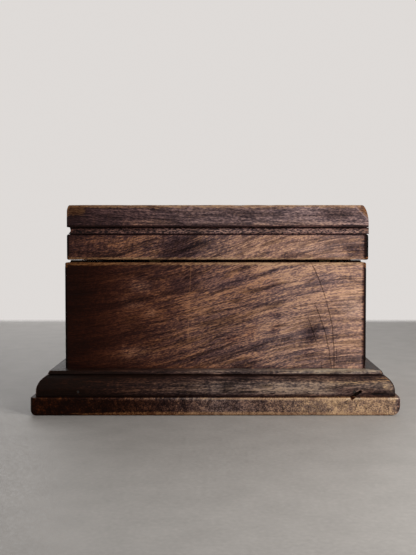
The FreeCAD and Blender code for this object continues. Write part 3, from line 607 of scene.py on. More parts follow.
@made_once
def walnut(name, wood):
    """Stained walnut, worn along its edges."""
    finish = FINISHES[name]
    material, tree, shader = new_material(name)
    grain = tree.attribute("grain", "Vector")
    place = tree.place()
    figure = tree.group("Wood figure", grain=grain, **finish.figure._asdict())
    rubbed = tree.group(
        "Edge wear", grain=grain, edge_distance=tree.attribute("edge_mm"), width=wood.wear_width * MM,
        cover=finish.cover,
    )["Wear"]
    marks = tree.group("Handling marks", place=place)["Marks"]
    # The stain attribute holds the stain's depth with painted shade and painted highlights added in
    depth = tree.attribute("stain")
    if finish.special == "nicked":
        # Painted shade inside the pry nick
        depth = tree.plus(depth, tree.fit(tree.attribute("nick_mm"), 0.9, 0.65, 0.0, 1.4))
    colour = streaked_wood(tree, wood, finish, figure, depth)
    colour = marked_wood(tree, wood, finish, colour, place, marks)
    colour = stained_wood(tree, wood, finish, colour, depth)
    if finish.special == "rubbed corners":
        corners, line = rubbed_corners(tree, figure, place)
        rubbed = tree.larger(rubbed, corners)
        colour = tree.mix(line, colour, wood.cool_light)
    bare = tree.mix(tree.fit(figure["Tone"], 0.25, 0.75), wood.bare_dark, wood.bare_wood)
    bare = tree.gamma(bare, tree.fit(depth, 0.8, 2.6, 0.85, 1.60))
    dull = tree.times_plus(rubbed, 0.16, wood.varnish)
    dull = tree.times_plus(tree.minus(figure["Tone"], 0.5), 0.14, dull)
    tree.feed(shader, {
        "Base Color": tree.mix(tree.times(rubbed, finish.rub), colour, bare),
        "Roughness": tree.times_plus(marks, 0.10, dull),
        "Normal": tree.bumped(figure["Relief"], OUTER_RELIEF),
        "Specular IOR Level": finish.gloss,
    })
    return material


@made_once
def inner_wood(name, wood):
    """Smooth bare wood of the boards that only show when the box is open."""
    material, tree, shader = new_material(name)
    grain = tree.attribute("grain", "Vector")
    figure = tree.group("Wood figure", grain=grain, **INNER_FIGURE._asdict())
    rubbed = tree.group(
        "Edge wear", grain=grain, edge_distance=tree.attribute("edge_mm"), width=0.8, cover=0.4
    )["Wear"]
    colour = tree.ramp(figure["Tone"], (0.25, wood.inner_dark), (0.78, wood.inner_light))
    colour = tree.mix(tree.times(figure["Pores"], 0.5), colour, wood.inner_dark, "MULTIPLY")
    tree.feed(shader, {
        "Base Color": tree.mix(tree.times(rubbed, 0.55), colour, wood.bare_dark),
        "Roughness": tree.fit(figure["Tone"], 0.2, 0.8, 0.58, 0.70),
        "Normal": tree.bumped(figure["Relief"], INNER_RELIEF),
        "Specular IOR Level": 0.3,
    })
    return material


@made_once
def aged_metal(name, clean, film_colour, roughness, patch_size):
    """Dull metal under an uneven dark film, scratched through in places."""
    material, tree, shader = new_material(name)
    place = tree.place()
    film = tree.group("Patina", place=place, patch_size=patch_size)
    marks = tree.group("Handling marks", place=place, level=0.66)["Marks"]
    cover = tree.larger(tree.times(film["Film"], 0.75), tree.times(film["Specks"], 0.85))
    cover = tree.minus(cover, tree.times(marks, 0.3))
    tree.feed(shader, {
        "Base Color": tree.mix(tree.fit(cover, 0.0, 1.0), clean, film_colour),
        "Metallic": tree.fit(film["Specks"], 0.0, 1.0, 1.0, 0.55),
        "Roughness": tree.fit(cover, 0.0, 1.0, roughness, roughness + 0.3),
        "Normal": tree.bumped(film["Specks"], SPECK_RELIEF),
    })
    return material


@made_once
def pad_leather(name, leather):
    """Matt leather with a fine pebbled grain."""
    material, tree, shader = new_material(name)
    place = tree.place()
    film = tree.group("Patina", place=place, patch_size=3.0)["Film"]
    pebbles = tree.node("TexVoronoi", {"Vector": place, "Scale": 2.6}, feature="DISTANCE_TO_EDGE")
    raised = tree.fit(pebbles.outputs["Distance"], 0.0, 0.18)
    dark = shaded(leather, 0.45)
    colour = tree.mix(tree.times(film, 0.5), leather, dark)
    tree.feed(shader, {
        "Base Color": tree.mix(raised, dark, colour),
        "Roughness": tree.fit(film, 0.0, 1.0, 0.62, 0.82),
        "Normal": tree.bumped(raised, PEBBLE_RELIEF),
        "Specular IOR Level": 0.0,
    })
    return material


# Boards

# How a board is cut and stained: its material, the axis that its grain follows, a seed, how far the grain
# climbs from end to end in mm, and the depth and coolness of its stain, at the drift places or as one number;
# a depth given at the drift places is partly real stain and partly painted shade, darker to the left, away
# from the lamp.
Board = namedtuple("Board", "finish along seed rise stain cool", defaults=(0.0, 1.0, 0.0))
# Places across the front from left to right, in mm, at which stain and painted shade are given
DRIFT_PLACES = (-84.0, -51.0, 0.0, 36.0, 84.0)
BOARDS = {
    "base_board": Board(
        "walnut_base", "y", 1, 0.0, (2.75, 2.25, 1.22, 0.95, 0.83), (0.1, 0.4, 0.9, 0.3, 0.0)
    ),
    "plinth_moulding_front": Board(
        "walnut_moulding", "x", 2, 2.0, (2.75, 2.10, 1.23, 1.17, 1.16), (0.6, 0.7, 0.95, 0.85, 0.75)
    ),
    "plinth_moulding_back": Board("walnut_moulding", "x", 3, -2.0, 1.4, 0.7),
    "plinth_moulding_left": Board("walnut_moulding", "y", 4, 2.0, 1.5, 0.7),
    "plinth_moulding_right": Board("walnut_moulding", "y", 5, -2.0, 1.35, 0.7),
    "front_wall": Board(
        "walnut_front", "x", 6, 34.0, (2.70, 1.82, 1.25, 0.895, 0.66), (0.0, 0.0, 0.50, 0.38, 0.10)
    ),
    "back_wall": Board("walnut_panel", "x", 7, -20.0, 1.2, 0.2),
    "left_wall": Board("walnut_panel", "y", 8, 14.0, 1.4, 0.2),
    "right_wall": Board("walnut_panel", "y", 9, -14.0, 1.1, 0.2),
    "lid_top": Board("walnut_slab", "x", 10, -3.0, (1.85, 1.46, 1.06, 1.01, 1.01), 1.0),
    "lid_rail_front": Board(
        "walnut_rail", "x", 11, 40.0, (1.65, 1.35, 0.91, 0.77, 0.56), (0.6, 0.5, 0.3, 0.1, 0.0)
    ),
    "lid_rail_back": Board("walnut_panel", "x", 12, 20.0, 1.2, 0.2),
    "lid_rail_left": Board("walnut_panel", "y", 13, 10.0, 1.35, 0.3),
    "lid_rail_right": Board("walnut_panel", "y", 14, -10.0, 1.1, 0.2),
    "front_cove_strip": Board("walnut_lock_strip", "x", 15, 0.0, (1.82, 1.47, 1.09, 1.10, 1.12), 0.75),
    "cove_strip_back": Board("walnut_cove", "x", 16, 0.0, 1.2, 0.8),
    "cove_strip_left": Board("walnut_cove", "y", 17, 0.0, 1.3, 0.8),
    "cove_strip_right": Board("walnut_cove", "y", 18, 0.0, 1.1, 0.8),
    "false_bottom": Board("bare_inner_wood", "x", 19, 6.0),
    "drawer_stop_peg": Board("bare_inner_wood", "z", 20),
    "lock_bar": Board("bare_inner_wood", "x", 21),
    "drawer_side_left": Board("bare_inner_wood", "y", 22),
    "drawer_side_right": Board("bare_inner_wood", "y", 23),
    "drawer_back": Board("bare_inner_wood", "x", 24),
    "drawer_bottom": Board("bare_inner_wood", "x", 25, -6.0),
}
ALONG_AXES = {"x": (0, 2, 1), "y": (1, 2, 0), "z": (2, 0, 1)}
AXIS_INDEX = {"x": 0, "y": 1, "z": 2}
SEED_STEP = Vector((137.0, 71.0, 93.0))

# How a board's mesh is cleaned and cut, in mm. Sharp or tightly rounded edges count as its outer edges.
SAME_POINT = 1e-3
FLAT_ANGLE = 0.01
SHARP_ANGLE = math.radians(40)
SHARP_CURVE = 0.35
ARRIS_STEP = 0.6
FINE_CUTS = (0.35, 0.9, 1.7, 2.8, 4.4)
SMALL_PIECE_STEP = 1.6
CUT_SNAP = 1e-4
CUT_MERGE = 2e-3
SMOOTH_ANGLE = math.radians(32)

# Distances for places that have no worn corner or no nick near them, in mm
NOWHERE = -100.0
FAR = 100.0


def smoothstep(low, high, value):
    share = min(max((value - low) / (high - low), 0.0), 1.0)
    return share * share * (3 - 2 * share)


def arris_points(mesh):
    """Points along the sharp or tightly rounded outer edges of a mesh."""
    points = []
    for edge in mesh.edges:
        if len(edge.link_faces) != 2 or not edge.is_convex:
            continue
        angle = edge.calc_face_angle()
        length = edge.calc_length()
        width = min(face.calc_area() for face in edge.link_faces) / length
        if angle < SHARP_ANGLE and angle / width < SHARP_CURVE:
            continue
        start, end = (vert.co.copy() for vert in edge.verts)
        count = max(1, math.ceil(length / ARRIS_STEP))
        points.extend(start.lerp(end, index / count) for index in range(count + 1))
    return points


def cut_places(low, high, step):
    """Where a board is cut across an axis: close together near its ends, evenly between them."""
    length = high - low
    if length < 4 * FINE_CUTS[-1]:
        count = max(2, round(length / SMALL_PIECE_STEP))
        return [low + length * index / count for index in range(1, count)]
    inner = length - 2 * FINE_CUTS[-1]
    count = max(1, round(inner / step))
    even = [low + FINE_CUTS[-1] + inner * index / count for index in range(count + 1)]
    return [low + cut for cut in FINE_CUTS[:-1]] + even + [high - cut for cut in FINE_CUTS[:-1]]


def cut_across(mesh, step):
    """Cuts a board along the three axes, so that its edges can be dented."""
    spans = [[end(vert.co[axis] for vert in mesh.verts) for end in (min, max)] for axis in range(3)]
    for axis, (low, high) in enumerate(spans):
        direction = Vector((0, 0, 0))
        direction[axis] = 1
        for place in cut_places(low, high, step):
            parts = mesh.verts[:] + mesh.edges[:] + mesh.faces[:]
            bmesh.ops.bisect_plane(
                mesh, geom=parts, dist=CUT_SNAP, plane_co=direction * place, plane_no=direction
            )


def board_mesh(node):
    """A clean copy of a board's solid, in millimetres."""
    mesh = bmesh.new()
    mesh.from_mesh(frame["nodes"][node].data)
    for vert in mesh.verts:
        vert.co *= MM
    bmesh.ops.remove_doubles(mesh, verts=mesh.verts[:], dist=SAME_POINT)
    bmesh.ops.dissolve_limit(mesh, angle_limit=FLAT_ANGLE, verts=mesh.verts[:], edges=mesh.edges[:])
    bmesh.ops.recalc_face_normals(mesh, faces=mesh.faces[:])
    return mesh


def edge_finder(mesh):
    """A search tree for the nearest point on a board's outer edges."""
    points = arris_points(mesh)
    finder = kdtree.KDTree(len(points))
    for index, point in enumerate(points):
        finder.insert(point, index)
    finder.balance()
    return finder


def grain_place(place, board):
    """A place in the wood: along the grain, and twice across it."""
    along, across, through = (place[axis] for axis in ALONG_AXES[board.along])
    climb = board.rise * smoothstep(-1.0, 1.0, along / FRONT_HIGH.x)
    return Vector((along, across - climb, through)) + SEED_STEP * board.seed


# Stain

# A patch of deeper or, below zero, thinner stain on the front of a board, or on the front moulding a painted
# highlight: its middle across and up, its half width and half height in mm, and how much deeper and cooler
# the stain is there.
Patch = namedtuple("Patch", "x z width height depth cool", defaults=(0.0,))
PATCHES = {
    "front_wall": (
        Patch(-20.0, 70.0, 9.0, 6.0, 0.30, 0.6),
        Patch(-24.0, 55.5, 9.0, 4.5, 0.16, 0.3),
        Patch(4.0, 72.0, 22.0, 4.5, 0.14, 0.6),
        Patch(32.0, 69.0, 8.0, 4.5, 0.26, 0.7),
        Patch(33.5, 53.0, 4.5, 3.0, 0.26, 0.3),
        Patch(33.0, 45.0, 4.5, 3.6, 0.34, 0.3),
        Patch(18.5, 43.2, 4.0, 2.8, 0.34, 0.3),
        Patch(9.0, 39.5, 5.5, 3.2, 0.38, 0.3),
        Patch(55.5, 46.0, 8.0, 2.4, 0.34, 0.5),
        Patch(52.5, 39.5, 7.0, 5.5, 0.36, 0.4),
        Patch(52.0, 31.5, 5.0, 2.6, 0.30, 0.4),
        Patch(66.0, 74.0, 13.0, 4.0, 0.20, 0.5),
        Patch(-42.5, 69.5, 9.0, 4.5, -0.36, -0.2),
        Patch(-47.0, 59.0, 9.0, 3.0, -0.30, -0.2),
        Patch(-36.0, 54.0, 6.0, 2.6, -0.28, -0.2),
        Patch(-44.0, 32.0, 16.0, 5.0, -0.45, -0.2),
        Patch(76.0, 58.0, 9.0, 9.0, -0.12),
    ),
    "lid_rail_front": (
        Patch(-22.0, 91.5, 13.0, 10.0, 0.36, 0.7),
        Patch(77.5, 89.0, 6.0, 3.6, 0.45, 0.4),
        Patch(16.0, 93.0, 12.0, 3.4, -0.14, -0.3),
        Patch(44.0, 90.0, 16.0, 4.0, -0.14, -0.3),
    ),
    "lid_top": (
        Patch(-38.0, 104.0, 20.0, 1.9, -0.22, -0.5),
        Patch(42.0, 103.6, 46.0, 1.7, -0.20, -0.5),
        Patch(64.0, 109.0, 14.0, 3.0, 0.12),
        Patch(84.0, 112.0, 5.0, 5.0, 1.2),
        Patch(-78.0, 112.0, 8.0, 5.0, 0.4),
    ),
    "base_board": (
        Patch(22.0, 5.0, 22.0, 12.0, 0.20, 0.3),
    ),
    "plinth_moulding_front": (
        Patch(-75.4, 12.4, 4.5, 2.4, 0.8),
        Patch(72.0, 13.6, 8.0, 2.4, 0.55, 0.5),
        Patch(86.0, 12.0, 10.0, 2.0, 0.60, 0.6),
        # Painted highlight on the upper ovolo at its right end, and along the ovolo
        Patch(92.0, 17.5, 7.0, 3.5, -0.30, -0.8),
        Patch(74.0, 17.3, 18.0, 1.0, -0.20, -0.5),
        Patch(66.0, 22.4, 30.0, 1.8, -0.62, -0.1),
    ),
}

# How far a patch can spread in half widths, how ragged its outline is, and over how many mm that varies
PATCH_REACH = 2.0
PATCH_RAGGED = 0.45
RAGGED_LENGTH = 4

# Painted shade along a joint, in a gap or crease, or on a rounded end, and, below zero, a painted highlight
# along an
# edge: the axis and place of the line, how far it spreads, how much deeper the stain looks there, and where
# it ends behind the front, if it does.
PaintedLightLine = namedtuple("PaintedLightLine", "axis place reach depth back", defaults=(None,))
# How far behind the front such painted shade ends in mm, and how much of it is gone there
END_PAINTED_LIGHT = 2.5
END_PAINTED_LIGHT_LOSS = 0.85
PAINTED_LIGHT_LINES = {
    "lid_top": (
        # Painted shade along the slab's lower edge, over the gap
        PaintedLightLine("z", SLAB_LOW.z, 1.2, 1.3),
    ),
    "front_cove_strip": (
        # Painted shade in the gaps above and below the strip
        PaintedLightLine("z", STRIP_HIGH.z, 0.9, 1.2),
        PaintedLightLine("z", STRIP_LOW.z, 0.7, 1.0),
    ),
    "lid_rail_front": (
        # Painted shade in the gap above the rail, and on the rail's rounded ends
        PaintedLightLine("z", RAIL_HIGH.z, 0.8, 0.9),
        PaintedLightLine("x", RAIL_LOW.x, 1.8, 2.0, RAIL_LOW.y + END_PAINTED_LIGHT),
        PaintedLightLine("x", RAIL_HIGH.x, 3.2, 4.0, RAIL_LOW.y + END_PAINTED_LIGHT),
    ),
    "front_wall": (
        # Painted shade where the wall meets the ledge, and on the wall's rounded ends
        PaintedLightLine("z", LEDGE, 1.0, 0.5),
        PaintedLightLine("x", FRONT_LOW.x, 1.8, 1.6, FRONT_LOW.y + END_PAINTED_LIGHT),
        PaintedLightLine("x", FRONT_HIGH.x, 2.4, 3.4, FRONT_LOW.y + END_PAINTED_LIGHT),
    ),
    "plinth_moulding_front": (
        # Painted shade at the moulding's foot, in its quirk and under its fillet
        PaintedLightLine("z", BASE_HIGH.z, 2.2, 0.9),
        PaintedLightLine("z", LEDGE - 2.3, 1.0, 0.9),
        PaintedLightLine("z", LEDGE - 3.6, 3.0, 0.4),
        # Painted highlight along the fillet
        PaintedLightLine("z", LEDGE - 0.6, 1.5, -0.15),
    ),
    "plinth_moulding_left": (
        # Painted shade in the crease under the wall
        PaintedLightLine("z", LEDGE, 0.3, 1.0),
    ),
    "plinth_moulding_right": (
        PaintedLightLine("z", LEDGE, 0.3, 0.6),
        # Painted shade where the right wall stands on the moulding
        PaintedLightLine("x", FRONT_HIGH.x + 0.5, 1.6, 1.4),
    ),
    "base_board": (
        # Painted shade on the base board's rounded right end
        PaintedLightLine("x", BASE_HIGH.x, 3.4, 1.1, BASE_LOW.y + END_PAINTED_LIGHT),
        # Painted highlight along the base board's top edge
        PaintedLightLine("z", BASE_HIGH.z - 0.4, 0.9, -0.7),
    ),
}
# Depth of plain stain, its least depth, and the painted shade on the base's top face under the mouldings, as
# extra depth
PLAIN_STAIN = 1.3
THINNEST_STAIN = 0.45
TOP_FACE_PAINTED_SHADE = 0.9
# How far behind the front a board's own stain and painted shade still change in mm, and how much of them is
# left at the back
STAIN_DRIFT = 60.0
BACK_SHARE = 0.35
# How uneven the stain is, and over how many mm
UNEVEN_STAIN = 0.14
UNEVEN_LENGTH = 26
# Painted shade deeper than this is also made cool
COOL_PAINTED_SHADE = 0.8


def drift(values, x):
    """The value at x of a run of values given from left to right."""
    if not isinstance(values, tuple):
        return values
    for index, start in enumerate(DRIFT_PLACES[:-1]):
        end = DRIFT_PLACES[index + 1]
        if x < end:
            share = max((x - start) / (end - start), 0.0)
            return values[index] + (values[index + 1] - values[index]) * share
    return values[-1]


def patches_at(place, node):
    """The patches of a piece that cover a place, each with its share from 0 to 1."""
    for patch in PATCHES.get(node, ()):
        off = math.hypot((place.x - patch.x) / patch.width, (place.z - patch.z) / patch.height)
        if off < PATCH_REACH:
            off += PATCH_RAGGED * noise.noise(place / RAGGED_LENGTH)
            yield patch, 1 - smoothstep(0.2, 1.25, off)


def painted_light_at(place, node):
    """The lines of painted shade and painted highlight of a piece, each with its share from 0 to 1 at a
    place.
    """
    for line in PAINTED_LIGHT_LINES.get(node, ()):
        off = abs(place[AXIS_INDEX[line.axis]] - line.place)
        share = 1 - smoothstep(0.0, line.reach, off)
        if line.back is not None:
            share *= 1 - END_PAINTED_LIGHT_LOSS * smoothstep(line.back - 0.8 * END_PAINTED_LIGHT, line.back, place.y)
        yield line, share


def stain_and_shade_depth(place, node, board):
    """How deep the stain is at a place, with painted shade and painted highlights added in: 1 is thin, 2 and
    more is almost black.
    """
    front = 1 - smoothstep(FRONT_LOW.y, FRONT_HIGH.y + STAIN_DRIFT, place.y)
    own_share = BACK_SHARE + (1 - BACK_SHARE) * front
    # The drift across the front is partly real stain and partly painted shade, darker to the left, away from
    # the lamp
    depth = PLAIN_STAIN + (drift(board.stain, place.x) - PLAIN_STAIN) * own_share
    depth += UNEVEN_STAIN * noise.noise(place / UNEVEN_LENGTH + SEED_STEP * board.seed)
    depth += sum(patch.depth * share for patch, share in patches_at(place, node))
    # Painted shade and painted highlights along lines
    depth += sum(line.depth * share for line, share in painted_light_at(place, node))
    # Painted shade on the base board's top face
    if node == "base_board" and place.z > BASE_HIGH.z - 0.05:
        depth += TOP_FACE_PAINTED_SHADE
    return max(depth, THINNEST_STAIN)


def coolness(place, node, board):
    """Share of the purple-brown colours at a place, raised where painted shade runs deep."""
    cool = drift(board.cool, place.x)
    cool += sum(patch.cool * share for patch, share in patches_at(place, node))
    cool += sum(2.5 * share for line, share in painted_light_at(place, node) if line.depth > COOL_PAINTED_SHADE)
    return min(max(cool, 0.0), 1.0)


# Wear

# The flat rubbed on the lid's right front corner: where it starts, its slope, how far back it reaches in mm,
# and how deep it cuts per mm
FACET_START = Vector((SLAB_HIGH.x - 7.0, SLAB_HIGH.z - 1.4))
FACET_RUN = Vector((4.6, -4.7)).normalized()
FACET_REACH = 6.0
FACET_CUT = 0.42
# The bare patch on the lid's left front corner
BARE_WIDTH = 10.0
BARE_HEIGHT = 5.8
BARE_REACH = 3.5
# The chip in the front board's lower right corner
CHIP_CORNER = Vector((FRONT_HIGH.x, FRONT_LOW.y, FRONT_LOW.z + 2.4))
CHIP_DEPTH = 1.1
CHIP_FLAT = 0.4
CHIP_REACH = 3.4
# Lengths over which rubbing, knocks and small chips vary along an edge
RUB_LENGTH = 22
KNOCK_LENGTH = 5.5
CHIP_LENGTH = 2.2
# Shares of wear on edges that are hardly handled
LEAST_WEAR = 0.02
MOULDING_WEAR = 0.10
PLAIN_WEAR = 0.12
# How far from the nick's middle line no edge is rubbed, and how far off an unworn edge counts as, in mm
NICK_CLEAR = 1.6
UNWORN_EDGE = 4.0


def corner_facet(place, node):
    """How far beyond its worn corner line a place on the lid's right front corner lies."""
    if node != "lid_top":
        return NOWHERE
    off = Vector((place.x, place.z)) - FACET_START
    return min(off.x * -FACET_RUN.y + off.y * FACET_RUN.x, SLAB_LOW.y + FACET_REACH - place.y)


def corner_depth(place, node):
    """How far inside one of the lid's rubbed corners a place lies, below zero outside."""
    if node != "lid_top":
        return NOWHERE
    right = corner_facet(place, node)
    across = SLAB_LOW.x + BARE_WIDTH - place.x
    up = place.z - SLAB_HIGH.z + BARE_HEIGHT
    back = SLAB_LOW.y + BARE_REACH - place.y
    return max(right, min(across, up, back))


def chipped_corner(place, node):
    """How deep the chip in the front board's corner is at a place."""
    if node != "front_wall":
        return 0.0
    return CHIP_DEPTH * (1 - smoothstep(CHIP_FLAT, CHIP_REACH, (place - CHIP_CORNER).length))


def nick_distance(place, node):
    """How far a place lies from the middle line of the pry nick."""
    if node not in ("base_board", "plinth_moulding_front") or place.y > FRONT_LOW.y:
        return FAR
    run = NICK_END - NICK_START
    off = Vector((place.x, place.z)) - NICK_START
    share = min(max(off.dot(run) / run.length_squared, 0.0), 1.0)
    return (off - run * share).length


def base_wear(place):
    """How strongly the base board is rubbed: its lower edge all along, its upper one right of the middle."""
    start, most = (-20.0, 0.45) if place.z > BASE_HIGH.z / 2 else (-90.0, 0.60)
    right_end = 91.0
    rubbed = smoothstep(start, start + 60.0, place.x) - smoothstep(right_end, right_end + 4.0, place.x)
    return LEAST_WEAR + 0.04 * (place.x < right_end) + most * max(rubbed, 0.0)


def wear_share(place, node):
    """How strongly an edge near a place is rubbed: most along the top of the lid, the rim and the foot."""
    if nick_distance(place, node) < NICK_CLEAR:
        return LEAST_WEAR
    if node == "base_board":
        return base_wear(place)
    if node == "lid_top":
        front = 1 - smoothstep(SLAB_LOW.y, SLAB_LOW.y + 9.0, place.y)
        top = smoothstep(SLAB_LOW.z + 4.0, SLAB_HIGH.z - 3.0, place.z)
        return 0.05 + (0.30 + 0.65 * front) * top
    if node.endswith("_wall"):
        rim = smoothstep(FRONT_HIGH.z - 4.0, FRONT_HIGH.z - 1.5, place.z)
        return 0.03 + 0.57 * rim
    if node.startswith("lid_rail"):
        lower_edge = smoothstep(FRONT_HIGH.z + 5.0, FRONT_HIGH.z + 3.0, place.z)
        return 0.03 + 0.37 * lower_edge
    if node.startswith("plinth_moulding"):
        return MOULDING_WEAR
    return PLAIN_WEAR


def dent(place, distance, share, wood, seed):
    """How far the surface is worn in at a place near an edge."""
    near = 1 - distance / (wood.wear_reach * MM)
    if near <= 0:
        return 0.0
    shift = SEED_STEP * seed
    rubbed = 0.5 + 0.5 * noise.noise(place / RUB_LENGTH + shift)
    knocks = max(0.0, noise.noise(place / KNOCK_LENGTH - shift) - 0.12)
    knocks += 0.5 * max(0.0, noise.noise(place / CHIP_LENGTH + shift) - 0.2)
    return wood.wear_depth * MM * (0.1 + 0.9 * share) * near * near * (0.22 * rubbed + 1.25 * knocks)


def surface_values(place, node, distance, share):
    """What the materials read from the mesh at a place."""
    board = BOARDS[node]
    return {
        "grain": grain_place(place, board),
        "edge_mm": distance / share + UNWORN_EDGE * (1 - smoothstep(LEAST_WEAR, PLAIN_WEAR, share)),
        "stain": stain_and_shade_depth(place, node, board),
        "cool": coolness(place, node, board),
        "corner_mm": corner_depth(place, node),
        "nick_mm": nick_distance(place, node),
    }


def store_values(data, values_of_points):
    """Keeps the values of all points in the mesh, as attributes."""
    for name, first in values_of_points[0].items():
        numbers = [values[name] for values in values_of_points]
        if isinstance(first, Vector):
            layer = data.attributes.new(name, "FLOAT_VECTOR", "POINT")
            layer.data.foreach_set("vector", [number for vector in numbers for number in vector])
        else:
            layer = data.attributes.new(name, "FLOAT", "POINT")
            layer.data.foreach_set("value", numbers)


def wear_mesh(mesh, node, wood):
    """Cuts and dents a board's mesh, takes it to metres, and gives the values of its points."""
    edges = edge_finder(mesh)
    cut_across(mesh, wood.mesh_step * MM)
    bmesh.ops.remove_doubles(mesh, verts=mesh.verts[:], dist=CUT_MERGE)
    mesh.normal_update()
    moved = []
    values_of_points = []
    for vert in mesh.verts:
        place = vert.co.copy()
        distance = edges.find(place)[2]
        share = wear_share(place, node)
        values_of_points.append(surface_values(place, node, distance, share))
        inward = dent(place, distance, share, wood, BOARDS[node].seed) + chipped_corner(place, node)
        flattened = FACET_CUT * max(corner_facet(place, node), 0.0)
        moved.append(place - vert.normal * inward + Vector((0, flattened, 0)))
    for vert, place in zip(mesh.verts, moved):
        vert.co = place / MM
    return values_of_points


def worn_board(node, wood, material):
    """A worn copy of a board's solid, which stands for it, with its grain and wear stored in the mesh."""
    mesh = board_mesh(node)
    values_of_points = wear_mesh(mesh, node, wood)
    data = bpy.data.meshes.new("worn_" + node)
    mesh.to_mesh(data)
    mesh.free()
    if "custom_normal" in data.attributes:
        data.attributes.remove(data.attributes["custom_normal"])
    store_values(data, values_of_points)
    data.shade_smooth()
    data.set_sharp_from_angle(angle=SMOOTH_ANGLE)
    data.materials.clear()
    data.materials.append(material)
    piece = bpy.data.objects.new("worn_" + node, data)
    bpy.context.scene.collection.objects.link(piece)
    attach(piece, BODY_OF_NODE[node])
    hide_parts(node)


def stained_board(node, wood):
    """A worn board of stained walnut."""
    worn_board(node, wood, walnut(BOARDS[node].finish, wood))


def bare_board(node, wood):
    """A worn board of bare inner wood."""
    worn_board(node, wood, inner_wood(BOARDS[node].finish, wood))


def finish_node(node, material):
    """Gives a solid that keeps its own shape a finished material."""
    data = frame["nodes"][node].data
    data.materials.clear()
    data.materials.append(material)


# Operators

class PUZZLEBOX_OT_base_board(bpy.types.Operator):
    """Wears the broad base board"""

    bl_idname = "puzzlebox.base_board"
    bl_label = "Base board"

    def execute(self, context):
        stained_board("base_board", context.scene.puzzle_box_wood)
        return {"FINISHED"}


class PUZZLEBOX_OT_plinth_mouldings(bpy.types.Operator):
    """Wears the four mitred mouldings round the foot, of which the front one is the drawer front"""

    bl_idname = "puzzlebox.plinth_mouldings"
    bl_label = "Plinth mouldings"

    def execute(self, context):
        for side in SIDES:
            stained_board(f"plinth_moulding_{side}", context.scene.puzzle_box_wood)
        return {"FINISHED"}


class PUZZLEBOX_OT_walls(bpy.types.Operator):
    """Wears the four walls of the body, with saw marks across the front one"""

    bl_idname = "puzzlebox.walls"
    bl_label = "Walls"

    def execute(self, context):
        for side in SIDES:
            stained_board(f"{side}_wall", context.scene.puzzle_box_wood)
        return {"FINISHED"}


class PUZZLEBOX_OT_lid_top(bpy.types.Operator):
    """Wears the thick slab of the lid, with its rubbed corners"""

    bl_idname = "puzzlebox.lid_top"
    bl_label = "Lid top"

    def execute(self, context):
        stained_board("lid_top", context.scene.puzzle_box_wood)
        return {"FINISHED"}


class PUZZLEBOX_OT_lid_rails(bpy.types.Operator):
    """Wears the four rails under the slab of the lid"""

    bl_idname = "puzzlebox.lid_rails"
    bl_label = "Lid rails"

    def execute(self, context):
        for side in SIDES:
            stained_board(f"lid_rail_{side}", context.scene.puzzle_box_wood)
        return {"FINISHED"}


class PUZZLEBOX_OT_cove_strips(bpy.types.Operator):
    """Wears the hollow strips between slab and rails, of which the front one is the sliding lock"""

    bl_idname = "puzzlebox.cove_strips"
    bl_label = "Cove strips"

    def execute(self, context):
        for node in ("front_cove_strip", "cove_strip_back", "cove_strip_left", "cove_strip_right"):
            stained_board(node, context.scene.puzzle_box_wood)
        return {"FINISHED"}


class PUZZLEBOX_OT_inner_boards(bpy.types.Operator):
    """Finishes the bare boards of the false bottom, the lock bar and the drawer"""

    bl_idname = "puzzlebox.inner_boards"
    bl_label = "Inner boards"

    def execute(self, context):
        for node, board in BOARDS.items():
            if board.finish == "bare_inner_wood":
                bare_board(node, context.scene.puzzle_box_wood)
        return {"FINISHED"}


class PUZZLEBOX_OT_brass_fittings(bpy.types.Operator):
    """Ages the brass hinge leaves, keepers and hooks"""

    bl_idname = "puzzlebox.brass_fittings"
    bl_label = "Brass fittings"

    def execute(self, context):
        colours = context.scene.puzzle_box_fittings
        brass = aged_metal("aged_brass", colours.brass, colours.tarnish, roughness=0.34, patch_size=7.0)
        dark_brass = aged_metal(
            "blackened_brass", colours.tarnish, colours.rust, roughness=0.55, patch_size=3.0
        )
        for side in ("left", "right"):
            for fitting in ("hinge_body_leaf", "hinge_lid_leaf", "keeper"):
                finish_node(f"{fitting}_{side}", brass)
            finish_node(f"lock_hook_{side}", dark_brass)
        return {"FINISHED"}


class PUZZLEBOX_OT_steel_fixings(bpy.types.Operator):
    """Ages the steel nails, screws and hinge pins"""

    bl_idname = "puzzlebox.steel_fixings"
    bl_label = "Nails, screws and pins"

    def execute(self, context):
        colours = context.scene.puzzle_box_fittings
        steel = aged_metal("dull_steel", colours.steel, colours.rust, roughness=0.42, patch_size=2.5)
        screws = ("keeper_screws", "hook_screws", "hinge_screws_body", "hinge_screws_lid")
        for node in (*screws, "hinge_pin_left", "hinge_pin_right"):
            finish_node(node, steel)
        black = aged_metal("blackened_nail", colours.nail, colours.rust, roughness=0.36, patch_size=1.0)
        for node in ("moulding_brads", "drawer_front_brads"):
            finish_node(node, black)
        return {"FINISHED"}


class PUZZLEBOX_OT_rim_pads(bpy.types.Operator):
    """Finishes the leather pads on the front rim"""

    bl_idname = "puzzlebox.rim_pads"
    bl_label = "Rim pads"

    def execute(self, context):
        finish_node("rim_bumpers", pad_leather("pad_leather", context.scene.puzzle_box_fittings.leather))
        return {"FINISHED"}


# Stage

